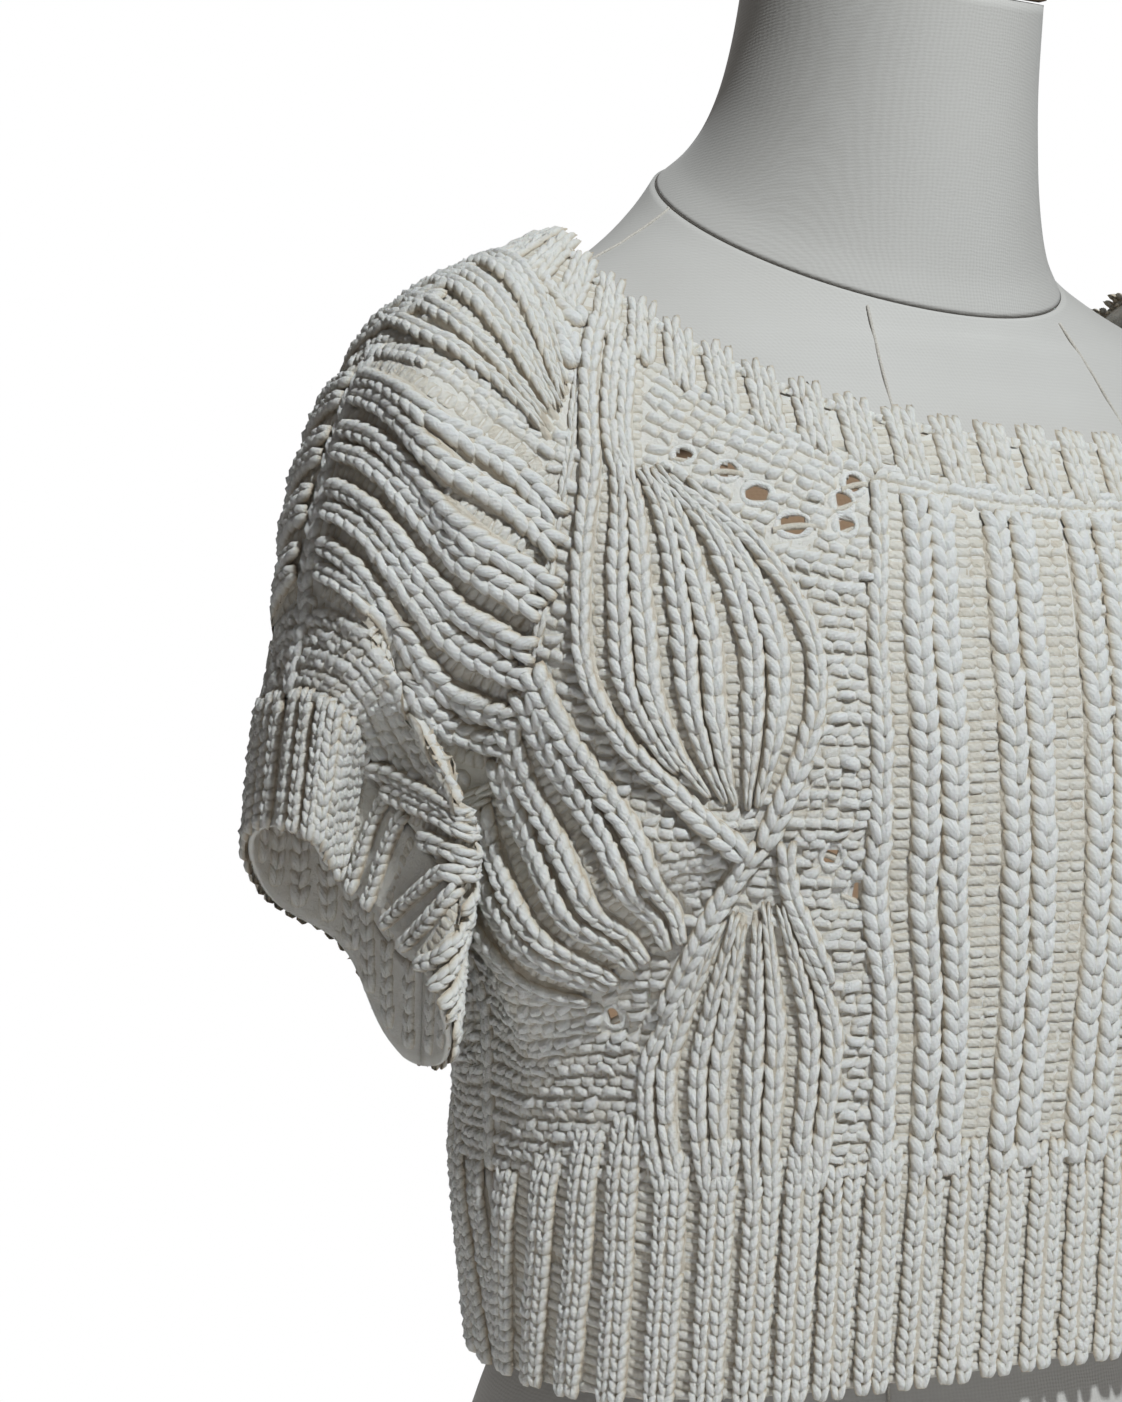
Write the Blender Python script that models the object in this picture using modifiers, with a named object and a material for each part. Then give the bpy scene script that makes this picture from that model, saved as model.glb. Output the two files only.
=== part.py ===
"""A cropped, short-sleeved chunky knit sweater on a limbless dress form.

Metres, +Z up, front towards -Y. The origin is the centre of the form's base, on the table.
Every piece of cloth is an open surface worked out from a table of rows, then given its
thickness with Solidify. A row runs from a seam edge to a middle point as one smooth arc.
"""

import math

import bmesh
import bpy
import numpy as np

# Driving sizes
CLOTH = 0.003  # wall of the knitted panels
SEAM_GAP = 0.0007  # between two pieces at a seam
UNDERARM_GAP = 0.0030  # between a sleeve and the body where four pieces meet
BAND_WIDTH = 0.016  # neckband, from its seam to its free edge
BASE_RADIUS = 0.130
BASE_HEIGHT = 0.030
CAP_HEIGHT = 0.012
CONTACT_GAP = 0.0003  # between stacked pieces of the form

# Facets
ACROSS = 22  # quads across a panel
RAGLAN = 15  # quads up a raglan seam
ROUND = 36  # quads round the form

# The sweater's body, one row for each height. The edge is the side seam up to the underarm and
# the raglan seam above it. Each row has the edge, the middle point, and the way the arc leaves
# the edge (lead), all for the side at +X. The middle arrives square to the centre line.
FRONT = {
    #            hem    seam            under
    "edge_x": [0.134, 0.140, 0.141, 0.156, 0.159, 0.158, 0.154, 0.147, 0.141, 0.134, 0.128],
    "edge_y": [0.000, 0.000, 0.000, 0.000, -0.030, -0.052, -0.061, -0.060, -0.054, -0.046, -0.039],
    "edge_z": [0.229, 0.290, 0.335, 0.376, 0.404, 0.436, 0.469, 0.502, 0.522, 0.540, 0.551],
    "lead_x": [0.000, 0.000, 0.000, 0.000, -0.016, -0.030, -0.038, -0.038, -0.034, -0.028, -0.022],
    "lead_y": [-0.064, -0.068, -0.072, -0.070, -0.054, -0.042, -0.032, -0.030, -0.032, -0.036, -0.038],
    "lead_z": [-0.006, 0.000, 0.000, 0.000, -0.004, -0.012, -0.018, -0.024, -0.028, -0.032, -0.034],
    "mid_y": [-0.108, -0.114, -0.119, -0.124, -0.126, -0.126, -0.124, -0.121, -0.118, -0.114, -0.111],
    "mid_z": [0.238, 0.298, 0.335, 0.372, 0.400, 0.426, 0.448, 0.468, 0.480, 0.490, 0.497],
}
BACK = {
    "edge_x": FRONT["edge_x"],
    "edge_y": [0.000, 0.000, 0.000, 0.000, 0.030, 0.050, 0.060, 0.063, 0.060, 0.055, 0.049],
    "edge_z": FRONT["edge_z"],
    "lead_x": [0.000, 0.000, 0.000, 0.000, -0.016, -0.030, -0.038, -0.040, -0.038, -0.034, -0.030],
    "lead_y": [0.060, 0.062, 0.064, 0.062, 0.048, 0.036, 0.028, 0.026, 0.028, 0.032, 0.034],
    "lead_z": [0.000, 0.000, 0.000, 0.000, 0.000, 0.000, -0.002, -0.004, -0.006, -0.007, -0.007],
    "mid_y": [0.104, 0.109, 0.111, 0.113, 0.115, 0.117, 0.118, 0.117, 0.114, 0.110, 0.106],
    "mid_z": [0.228, 0.290, 0.330, 0.370, 0.404, 0.438, 0.470, 0.498, 0.518, 0.536, 0.548],
}
MIDDLE_REACH = 0.074  # how far a body arc runs square to the centre line
HEM_ROWS, UNDERARM_ROW, NECK_ROW = 1, 3, 10

# A sleeve, from the cuff's free edge to the neckline. Its top line is at y = 0. Up to the
# underarm its two edges meet in a seam, and above it they are the body's raglan edges, which
# the sleeve leaves in one smooth sweep: its lead is the body's, turned about and scaled.
SLEEVE = {
    #            cuff   seam   under  raglan rows, beside the body's rows 4 to 10
    "edge_x": [0.1545, 0.1560, 0.1560],
    "edge_y": [0.008, 0.003, 0.000],
    "edge_z": [0.323, 0.354, 0.376],
    "lead_y": [-0.052, -0.060, -0.066],
    "lead_scale": [0.50, 0.58, 0.62, 0.62, 0.56, 0.46, 0.38],
    "mid_x": [0.2120, 0.2075, 0.2030, 0.2005, 0.1965, 0.1900, 0.1800, 0.1660, 0.1510, 0.1385],
    "mid_z": [0.398, 0.436, 0.458, 0.480, 0.500, 0.520, 0.540, 0.557, 0.566, 0.572],
    "mid_reach": [0.076, 0.074, 0.072, 0.068, 0.062, 0.054, 0.046, 0.038, 0.030, 0.024],
}
CUFF_ROW, SLEEVE_UNDERARM, SLEEVE_TOP = 1, 2, 9

# The largest folds. Each pushes the cloth near a straight line on a piece, which runs from
# (across, row) to (across, row). half_width and the push are in metres, and the push swells from
# nothing at both ends of the line. Across runs 0 to 1, from the wearer's right to the left on the
# body, and from the front edge to the back edge on a sleeve. The pushes of the body are for the
# wearer's right half, those of a sleeve for the left one: x is mirrored on the other.
SLEEVE_FOLDS = [
    # across, row, to across, to row, half_width, push x, y, z
    (0.41, -3.0, 0.25, 3.0, 0.021, -0.008, 0.046, 0.004),
    (0.24, -3.0, 0.16, 3.6, 0.018, 0.004, -0.010, -0.002),
    (0.84, -3.0, 0.80, 3.0, 0.024, -0.004, -0.006, 0.012),
    (0.02, 5.0, 0.60, 6.2, 0.014, 0.005, -0.006, -0.005),
]
FRONT_FOLDS = [
    (-0.02, 1.6, 0.22, 4.2, 0.022, -0.008, -0.012, -0.009),
]
BACK_FOLDS = [
    (-0.02, 1.6, 0.22, 4.2, 0.020, -0.005, 0.010, -0.008),
]
FOLD_EDGE = 0.05  # a fold dies away over this share of the width beside a seam

# The form: superellipse rings about (0, centre). half is the half width, front and back the
# depths from the centre. A ring leans: it is tilt * depth higher towards the back.
TORSO = {
    "z": [0.0303, 0.060, 0.100, 0.150, 0.200, 0.250, 0.300, 0.350, 0.390, 0.420, 0.460, 0.500, 0.525,
          0.542, 0.555, 0.5665, 0.5765, 0.5855, 0.5905],
    "half": [0.150, 0.156, 0.158, 0.150, 0.135, 0.120, 0.123, 0.131, 0.138, 0.141, 0.147, 0.157, 0.163,
             0.162, 0.145, 0.116, 0.093, 0.077, 0.0705],
    "front": [0.098, 0.104, 0.108, 0.104, 0.097, 0.092, 0.096, 0.104, 0.113, 0.117, 0.111, 0.097, 0.085,
              0.0765, 0.0725, 0.070, 0.0685, 0.0670, 0.066],
    "back": [0.108, 0.114, 0.114, 0.106, 0.096, 0.085, 0.086, 0.092, 0.097, 0.100, 0.101, 0.096, 0.089,
             0.082, 0.075, 0.070, 0.067, 0.0650, 0.064],
    "centre": [0, 0],
    "tilt": [0, 0, 0, 0, 0, 0, 0, 0, 0, 0, 0.00, 0.02, 0.05, 0.10, 0.17, 0.27, 0.39, 0.49, 0.54],
    "power": [2.4, 2.4, 2.4, 2.3, 2.3, 2.3, 2.3, 2.3, 2.3, 2.3, 2.2, 2.1, 1.95, 1.75, 1.65, 1.65, 1.8,
              1.95, 2.0],
}
NECK = {
    "z": [0.5909, 0.600, 0.612, 0.628, 0.650, 0.672],
    "half": [0.0690, 0.0605, 0.0545, 0.0500, 0.0470, 0.0460],
    "front": [0.0650, 0.0600, 0.0570, 0.0550, 0.0535, 0.0525],
    "back": [0.0635, 0.0600, 0.0570, 0.0550, 0.0535, 0.0525],
    "centre": [0.000, -0.004, -0.008, -0.012, -0.016, -0.020],
    "tilt": [0.54, 0.52, 0.48, 0.44, 0.39, 0.34],
    "power": [2.0, 2.0],
}


def smooth(column, row):
    """A table column at any row: a cubic through its values that never overshoots them."""
    values = np.asarray(column, float)
    row = np.asarray(row, float)
    steps = np.diff(values)
    before, after = steps[:-1], steps[1:]
    same = before * after > 0
    slope = np.concatenate([steps[:1], np.zeros(len(values) - 2), steps[-1:]])
    slope[1:-1][same] = 2 * before[same] * after[same] / (before[same] + after[same])
    at = np.clip(row.astype(int), 0, len(values) - 2)
    t = row - at
    rise, here, there = steps[at], slope[at], slope[at + 1]
    bend = 3 * rise - 2 * here - there
    return values[at] + t * (here + t * (bend + t * (here + there - 2 * rise)))


def arc(edge, lead, middle, reach, share):
    """Points from edge (share 0) to middle (share 1) on a cubic that leaves along lead."""
    share = share[..., None]
    rest = 1 - share
    near_edge, near_middle = edge + lead, middle + reach
    return (
        rest**3 * edge
        + 3 * rest**2 * share * near_edge
        + 3 * rest * share**2 * near_middle
        + share**3 * middle
    )


def stack(*columns):
    return np.stack(np.broadcast_arrays(*columns), axis=-1).astype(float)


def body_point(table, across, row):
    """A point of the front or back. across runs 0 to 1 from -X to +X."""
    side = np.where(across < 0.5, -1.0, 1.0)
    share = 1 - np.abs(2 * across - 1)

    def at(name):
        return smooth(table[name], row)

    edge = stack(side * at("edge_x"), at("edge_y"), at("edge_z"))
    lead = stack(side * at("lead_x"), at("lead_y"), at("lead_z"))
    middle = stack(0 * row, at("mid_y"), at("mid_z"))
    reach = stack(side * MIDDLE_REACH, 0 * row, 0 * row)
    return arc(edge, lead, middle, reach, share)


def sleeve_lead(body, row):
    """The way a sleeve's arc leaves its edge: the body's lead turned about above the underarm."""
    raglan = slice(UNDERARM_ROW + 1, None)
    facing = np.sign(body["mid_y"][0])
    still = [0.0] * len(SLEEVE["lead_y"])
    tube = {"lead_x": still, "lead_y": [-facing * lead for lead in SLEEVE["lead_y"]], "lead_z": still}
    columns = []
    for name, start in tube.items():
        turned = -np.array(body[name][raglan]) * SLEEVE["lead_scale"]
        columns.append(smooth(np.append(start, turned), row))
    return stack(*columns)


def sleeve_edge(body, row):
    """A sleeve's edge: its own seam below the underarm, and the body's raglan edge above."""
    above = row > SLEEVE_UNDERARM
    beside = row + UNDERARM_ROW - SLEEVE_UNDERARM
    names = ("edge_x", "edge_y", "edge_z")
    columns = (np.where(above, smooth(body[n], beside), smooth(SLEEVE[n], row)) for n in names)
    clear = UNDERARM_GAP * np.clip(1 - 2 * (row - SLEEVE_UNDERARM), 0, 1)
    return stack(*columns) + stack(clear, 0 * clear, 0 * clear)


def sleeve_point(side, across, row):
    """A point of a sleeve: side is -1 or 1. across runs 0 to 1 from the front edge to the back."""
    share = 1 - np.abs(2 * across - 1)
    middle = stack(smooth(SLEEVE["mid_x"], row), 0 * row, smooth(SLEEVE["mid_z"], row))
    halves = []
    for body in (FRONT, BACK):
        facing = np.sign(body["mid_y"][0])
        reach = stack(0 * row, facing * smooth(SLEEVE["mid_reach"], row), 0 * row)
        halves.append(arc(sleeve_edge(body, row), sleeve_lead(body, row), middle, reach, share))
    point = np.where((across < 0.5)[..., None], halves[0], halves[1])
    return point * np.array([side, 1, 1])


def fold_push(across, row, folds, span, rise):
    """How far the folds push the cloth. span and rise turn across and row into metres."""
    push = np.zeros(across.shape + (3,))
    here = np.stack([across * span, row * rise], axis=-1)
    for from_across, from_row, to_across, to_row, half_width, *most in folds:
        start = np.array([from_across * span, from_row * rise])
        line = np.array([to_across * span, to_row * rise]) - start
        share = np.clip((here - start) @ line / (line @ line), 0, 1)
        away = np.linalg.norm(here - start - share[..., None] * line, axis=-1) / half_width
        push += (np.exp(-away**2) * np.sin(math.pi * share))[..., None] * np.array(most)
    return push


def frame_of(surface, across, row):
    """The unit normal (across x up) and the unit way up of a surface function."""
    step = 1e-4
    over = surface(across + step, row) - surface(across - step, row)
    up = surface(across, row + step) - surface(across, row - step)
    normal = np.cross(over, up)
    normal /= np.linalg.norm(normal, axis=-1, keepdims=True)
    return normal, up / np.linalg.norm(up, axis=-1, keepdims=True)


def sleeve_surface(side):
    """The outer face of a sleeve as a function. across x up points out of the sleeve."""
    def surface(across, row):
        across = across if side > 0 else 1 - across
        fade = np.clip(np.minimum(across, 1 - across) / FOLD_EDGE, 0, 1) ** 2
        push = fold_push(across, row, SLEEVE_FOLDS, 0.28, 0.026) * fade[..., None]
        return sleeve_point(side, across, row) + push * np.array([side, 1, 1])

    return surface


def body_surface(table, folds):
    """The outer face of the front or back as a function. across x up points out of it."""
    def surface(across, row):
        across = across if table is FRONT else 1 - across
        half = np.minimum(across, 1 - across)
        side = np.where(across < 0.5, 1.0, -1.0)[..., None]
        fade = np.clip(half / FOLD_EDGE, 0, 1) ** 2
        push = fold_push(half, row, folds, 0.42, 0.036) * fade[..., None]
        return body_point(table, across, row) + push * np.concatenate([side, side**2, side**2], -1)

    return surface


PANELS = {
    "front": body_surface(FRONT, FRONT_FOLDS),
    "back": body_surface(BACK, BACK_FOLDS),
    "sleeve_right": sleeve_surface(-1),
    "sleeve_left": sleeve_surface(1),
}


def grid(rows, crowding):
    """Across and row of a panel's points, crowded towards both edges, a seam gap inside them."""
    inset = SEAM_GAP / 0.24
    share = np.linspace(inset, 1 - inset, ACROSS + 1)
    turn = 2 * math.pi
    return np.meshgrid(share - crowding * np.sin(turn * share) / turn, rows)


def material(name, colour, roughness):
    made = bpy.data.materials.new(name)
    made.use_nodes = True
    shader = made.node_tree.nodes["Principled BSDF"]
    shader.inputs["Base Color"].default_value = (*colour, 1)
    shader.inputs["Roughness"].default_value = roughness
    shader.inputs["Metallic"].default_value = 0
    return made


def mesh_object(name, rings, finish, collection, rim):
    """A closed mesh from rings of points, each joined to the next round and round.

    rim closes the mesh: "caps" puts a face on the first and last ring, "loop" joins them.
    """
    mesh = bmesh.new()
    verts = [[mesh.verts.new(p) for p in line] for line in rings]
    pairs = list(zip(verts, verts[1:]))
    if rim == "loop":
        pairs.append((verts[-1], verts[0]))
    for low, high in pairs:
        for i in range(len(low)):
            j = (i + 1) % len(low)
            mesh.faces.new((low[i], low[j], high[j], high[i]))
    if rim == "caps":
        mesh.faces.new(verts[0][::-1])
        mesh.faces.new(verts[-1])
    data = bpy.data.meshes.new(name)
    mesh.to_mesh(data)
    mesh.free()
    data.shade_smooth()
    data.materials.append(finish)
    made = bpy.data.objects.new(name, data)
    collection.objects.link(made)
    return made


def wall(name, outer, normal, finish, collection):
    """A panel's wall: its outer grid of points, and the inner face laid CLOTH deep inside."""
    inner = outer - normal * CLOTH
    mesh = bmesh.new()
    skins = []
    for points in (outer, inner):
        skins.append([[mesh.verts.new(p) for p in line] for line in points])
    for skin, turn in zip(skins, (1, -1)):
        for low, high in zip(skin, skin[1:]):
            for a, b, c, d in zip(low, low[1:], high[1:], high):
                mesh.faces.new((a, b, c, d)[::turn])
    outside, inside = (boundary(skin) for skin in skins)
    for a, b, c, d in zip(outside, outside[1:] + outside[:1], inside[1:] + inside[:1], inside):
        mesh.faces.new((b, a, d, c))
    bmesh.ops.triangulate(mesh, faces=mesh.faces, quad_method="SHORT_EDGE")
    data = bpy.data.meshes.new(name)
    mesh.to_mesh(data)
    mesh.free()
    data.shade_smooth()
    data.materials.append(finish)
    made = bpy.data.objects.new(name, data)
    collection.objects.link(made)


def boundary(skin):
    """A grid's edge vertices, once round: along the bottom, up, back and down."""
    right = [line[-1] for line in skin[1:]]
    left = [line[0] for line in skin[1:-1]]
    return skin[0] + right + skin[-1][-2::-1] + left[::-1]


def panels(finish, collection):
    """Every panel, with its ribbed end split off as a piece of its own."""
    for name, surface in PANELS.items():
        sleeve = name.startswith("sleeve")
        ribbing = name.replace("sleeve", "cuff") if sleeve else "hem_" + name
        split, under = (CUFF_ROW, SLEEVE_UNDERARM) if sleeve else (HEM_ROWS, UNDERARM_ROW)
        gap = SEAM_GAP / 2 / (0.016 if sleeve else 0.050)
        crowding = 0.0 if sleeve else 0.4
        below = np.linspace(split + gap, under, 4 if sleeve else 8)[:-1]
        above = np.linspace(under, under + NECK_ROW - UNDERARM_ROW, RAGLAN + 1)
        band = np.linspace(0, split - gap, 4)
        for part, rows, seam in ((ribbing, band, -1), (name, np.append(below, above), 0)):
            across, row = grid(rows, crowding)
            points = surface(across, row)
            row[seam] = split  # both sides of the seam share one wall direction
            wall(part, points, frame_of(surface, across, row)[0], finish, collection)


def eased(directions):
    """A closed loop of directions, each turned towards its neighbours and made unit again."""
    mean = directions / 2 + (np.roll(directions, 1, axis=0) + np.roll(directions, -1, axis=0)) / 4
    return mean / np.linalg.norm(mean, axis=1, keepdims=True)


def neckband(finish, collection):
    """The ribbed band: it goes on from the neck seam, up the form, and closes on itself."""
    seam, normal, up = [], [], []
    runs = (("front", NECK_ROW, ACROSS), ("sleeve_left", SLEEVE_TOP, ACROSS // 2))
    runs += (("back", NECK_ROW, ACROSS), ("sleeve_right", SLEEVE_TOP, ACROSS // 2))
    for name, top, steps in runs:
        across = np.linspace(0, 1, steps + 1)[:-1]
        row = np.full(steps, float(top))
        outward, along = frame_of(PANELS[name], across, row)
        seam.append(PANELS[name](across, row))
        normal.append(outward)
        up.append(along)
    seam, normal, up = (np.concatenate(part) for part in (seam, normal, up))
    for _ in range(3):
        normal, up = (eased(part) for part in (normal, up))
    start, end = (seam + up * reach for reach in (SEAM_GAP * 1.6, SEAM_GAP + BAND_WIDTH))
    rings = [start, (start + end) / 2, end]
    rings += [rings[2] - normal * CLOTH, rings[1] - normal * CLOTH, rings[0] - normal * CLOTH]
    mesh_object("neckband", rings, finish, collection, rim="loop")


def ring(table, row, angles):
    """One superellipse ring of the form."""
    def at(name):
        return smooth(table[name], row)

    cos, sin = np.cos(angles), np.sin(angles)
    power = 2 / at("power")
    x = at("half") * np.sign(cos) * np.abs(cos) ** power
    depth = np.where(sin < 0, at("front"), at("back"))
    y = depth * np.sign(sin) * np.abs(sin) ** power
    return np.stack([x, y + at("centre"), at("z") + at("tilt") * y], axis=-1)


def loft(name, table, rows, finish, collection):
    """A closed solid through the table's rings, with a flat face at each end."""
    angles = np.linspace(0, 2 * math.pi, ROUND, endpoint=False)
    rings = [ring(table, row, angles) for row in np.linspace(0, len(table["z"]) - 1, rows)]
    mesh_object(name, rings, finish, collection, rim="caps")


def neck_cap(finish, collection):
    """The flat wooden cap on the neck, in the neck's own leaning plane."""
    lean = math.atan(NECK["tilt"][-1])
    bpy.ops.mesh.primitive_cylinder_add(vertices=ROUND, radius=1, depth=CAP_HEIGHT)
    cap = bpy.context.object
    cap.name = "form_cap"
    grow = 1.03
    depth = NECK["front"][-1] / math.cos(lean)
    cap.scale = (NECK["half"][-1] * grow, depth * grow, 1)
    bpy.ops.object.transform_apply(location=False, rotation=False, scale=True)
    cap.rotation_euler = (lean, 0, 0)
    rise = CAP_HEIGHT / 2 + CONTACT_GAP * 2
    middle = NECK["centre"][-1]
    cap.location = (0, middle - math.sin(lean) * rise, NECK["z"][-1] + math.cos(lean) * rise)
    edge = cap.modifiers.new("edge", "BEVEL")
    edge.width = 0.003
    edge.segments = 2
    adopt(cap, finish, collection)


def base(finish, collection):
    """A turned wooden disc that the torso stands on."""
    bpy.ops.mesh.primitive_cylinder_add(vertices=64, radius=BASE_RADIUS, depth=BASE_HEIGHT)
    disc = bpy.context.object
    disc.name = "form_base"
    disc.scale = (1.06, 0.80, 1)
    bpy.ops.object.transform_apply(location=False, rotation=False, scale=True)
    disc.location = (0, 0, BASE_HEIGHT / 2)
    edge = disc.modifiers.new("edge", "BEVEL")
    edge.width = 0.004
    edge.segments = 2
    edge.limit_method = "ANGLE"
    adopt(disc, finish, collection)


def adopt(made, finish, collection):
    """Moves a primitive into the object's collection and gives it its material."""
    for old in list(made.users_collection):
        old.objects.unlink(made)
    collection.objects.link(made)
    made.data.materials.clear()
    made.data.materials.append(finish)


def main():
    for old in list(bpy.data.objects):
        bpy.data.objects.remove(old, do_unlink=True)
    collection = bpy.data.collections.new("sweater_on_dress_form")
    bpy.context.scene.collection.children.link(collection)
    knit = material("cream_knit", (0.83, 0.80, 0.73), 0.95)
    linen = material("form_linen", (0.70, 0.68, 0.64), 0.85)
    wood = material("form_wood", (0.45, 0.34, 0.24), 0.5)
    panels(knit, collection)
    neckband(knit, collection)
    loft("form_torso", TORSO, 30, linen, collection)
    loft("form_neck", NECK, 8, linen, collection)
    neck_cap(wood, collection)
    base(wood, collection)


main()
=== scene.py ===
"""Looks for the cropped knit sweater on its dress form: knitted panels, form, light, camera.

Each panel is a thin cloth sheet on the CAD's own surface, with its stitches as relief: knit
columns of two ropes, purl columns of rungs, and loose purl bumps on the plain ground.
"""

import math

import bmesh
import bpy
import numpy as np
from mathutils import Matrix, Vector
from mathutils.bvhtree import BVHTree
from mathutils.kdtree import KDTree


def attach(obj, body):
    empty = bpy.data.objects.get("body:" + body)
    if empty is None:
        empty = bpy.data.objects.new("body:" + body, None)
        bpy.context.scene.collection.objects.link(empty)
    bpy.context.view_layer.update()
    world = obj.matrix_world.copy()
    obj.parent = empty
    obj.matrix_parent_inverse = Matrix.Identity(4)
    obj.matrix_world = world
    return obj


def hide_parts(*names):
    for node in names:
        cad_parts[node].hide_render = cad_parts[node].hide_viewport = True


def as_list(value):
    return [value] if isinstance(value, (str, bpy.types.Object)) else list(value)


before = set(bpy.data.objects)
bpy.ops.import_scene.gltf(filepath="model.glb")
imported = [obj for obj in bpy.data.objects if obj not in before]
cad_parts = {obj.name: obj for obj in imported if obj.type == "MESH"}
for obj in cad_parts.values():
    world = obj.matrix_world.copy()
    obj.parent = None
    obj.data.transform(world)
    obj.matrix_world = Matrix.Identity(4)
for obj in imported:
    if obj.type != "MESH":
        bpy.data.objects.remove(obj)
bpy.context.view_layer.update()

# Sizes, in metres
CLOTH = 0.003  # the panels' wall in the CAD
SEAM_GAP = 0.0007
UNDERARM_GAP = 0.0030
BAND_WIDTH = 0.016
SHELL_SINK = 0.0009  # the cloth sheet's outer face below the CAD's
SHELL_THICK = 0.0015
SKIRT = -0.0014  # how deep the foot of a stitch goes
STITCH = 0.0052  # pitch of a knit column
RUNG = 0.0030  # pitch of a purl column
LOOP = 0.0047  # pitch of the bumps along a course of plain ground

# The sweater's body, one row for each height. The edge is the side seam up to the underarm and
# the raglan seam above it. Each row has the edge, the middle point, and the way the arc leaves
# the edge (lead), all for the side at +X. The middle arrives square to the centre line.
FRONT = {
    #            hem    seam            under
    "edge_x": [0.134, 0.140, 0.141, 0.156, 0.159, 0.158, 0.154, 0.147, 0.141, 0.134, 0.128],
    "edge_y": [0.000, 0.000, 0.000, 0.000, -0.030, -0.052, -0.061, -0.060, -0.054, -0.046, -0.039],
    "edge_z": [0.229, 0.290, 0.335, 0.376, 0.404, 0.436, 0.469, 0.502, 0.522, 0.540, 0.551],
    "lead_x": [0.000, 0.000, 0.000, 0.000, -0.016, -0.030, -0.038, -0.038, -0.034, -0.028, -0.022],
    "lead_y": [-0.064, -0.068, -0.072, -0.070, -0.054, -0.042, -0.032, -0.030, -0.032, -0.036, -0.038],
    "lead_z": [-0.006, 0.000, 0.000, 0.000, -0.004, -0.012, -0.018, -0.024, -0.028, -0.032, -0.034],
    "mid_y": [-0.108, -0.114, -0.119, -0.124, -0.126, -0.126, -0.124, -0.121, -0.118, -0.114, -0.111],
    "mid_z": [0.238, 0.298, 0.335, 0.372, 0.400, 0.426, 0.448, 0.468, 0.480, 0.490, 0.497],
}
BACK = {
    "edge_x": FRONT["edge_x"],
    "edge_y": [0.000, 0.000, 0.000, 0.000, 0.030, 0.050, 0.060, 0.063, 0.060, 0.055, 0.049],
    "edge_z": FRONT["edge_z"],
    "lead_x": [0.000, 0.000, 0.000, 0.000, -0.016, -0.030, -0.038, -0.040, -0.038, -0.034, -0.030],
    "lead_y": [0.060, 0.062, 0.064, 0.062, 0.048, 0.036, 0.028, 0.026, 0.028, 0.032, 0.034],
    "lead_z": [0.000, 0.000, 0.000, 0.000, 0.000, 0.000, -0.002, -0.004, -0.006, -0.007, -0.007],
    "mid_y": [0.104, 0.109, 0.111, 0.113, 0.115, 0.117, 0.118, 0.117, 0.114, 0.110, 0.106],
    "mid_z": [0.228, 0.290, 0.330, 0.370, 0.404, 0.438, 0.470, 0.498, 0.518, 0.536, 0.548],
}
MIDDLE_REACH = 0.074  # how far a body arc runs square to the centre line
UNDERARM_ROW, NECK_ROW = 3, 10

# A sleeve, from the cuff's free edge to the neckline. Its top line is at y = 0. Up to the
# underarm its two edges meet in a seam, and above it they are the body's raglan edges, which
# the sleeve leaves in one smooth sweep: its lead is the body's, turned about and scaled.
SLEEVE = {
    #            cuff   seam   under  raglan rows, beside the body's rows 4 to 10
    "edge_x": [0.1545, 0.1560, 0.1560],
    "edge_y": [0.008, 0.003, 0.000],
    "edge_z": [0.323, 0.354, 0.376],
    "lead_y": [-0.052, -0.060, -0.066],
    "lead_scale": [0.50, 0.58, 0.62, 0.62, 0.56, 0.46, 0.38],
    "mid_x": [0.2120, 0.2075, 0.2030, 0.2005, 0.1965, 0.1900, 0.1800, 0.1660, 0.1510, 0.1385],
    "mid_z": [0.398, 0.436, 0.458, 0.480, 0.500, 0.520, 0.540, 0.557, 0.566, 0.572],
    "mid_reach": [0.076, 0.074, 0.072, 0.068, 0.062, 0.054, 0.046, 0.038, 0.030, 0.024],
}
SLEEVE_UNDERARM, SLEEVE_TOP = 2, 9

# The largest folds. Each pushes the cloth near a straight line on a piece, which runs from
# (across, row) to (across, row). half_width and the push are in metres, and the push swells from
# nothing at both ends of the line. Across runs 0 to 1, from the wearer's right to the left on the
# body, and from the front edge to the back edge on a sleeve. The pushes of the body are for the
# wearer's right half, those of a sleeve for the left one: x is mirrored on the other.
SLEEVE_FOLDS = [
    # across, row, to across, to row, half_width, push x, y, z
    (0.41, -3.0, 0.25, 3.0, 0.021, -0.008, 0.046, 0.004),
    (0.24, -3.0, 0.16, 3.6, 0.018, 0.004, -0.010, -0.002),
    (0.84, -3.0, 0.80, 3.0, 0.024, -0.004, -0.006, 0.012),
    (0.02, 5.0, 0.60, 6.2, 0.014, 0.005, -0.006, -0.005),
]
FRONT_FOLDS = [
    (-0.02, 1.6, 0.22, 4.2, 0.022, -0.008, -0.012, -0.009),
]
BACK_FOLDS = [
    (-0.02, 1.6, 0.22, 4.2, 0.020, -0.005, 0.010, -0.008),
]
FOLD_EDGE = 0.05  # a fold dies away over this share of the width beside a seam


def smooth(column, row):
    """A table column at any row: a cubic through its values that never overshoots them."""
    values = np.asarray(column, float)
    row = np.asarray(row, float)
    steps = np.diff(values)
    before, after = steps[:-1], steps[1:]
    same = before * after > 0
    slope = np.concatenate([steps[:1], np.zeros(len(values) - 2), steps[-1:]])
    slope[1:-1][same] = 2 * before[same] * after[same] / (before[same] + after[same])
    at = np.clip(row.astype(int), 0, len(values) - 2)
    t = row - at
    rise, here, there = steps[at], slope[at], slope[at + 1]
    bend = 3 * rise - 2 * here - there
    return values[at] + t * (here + t * (bend + t * (here + there - 2 * rise)))


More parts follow.
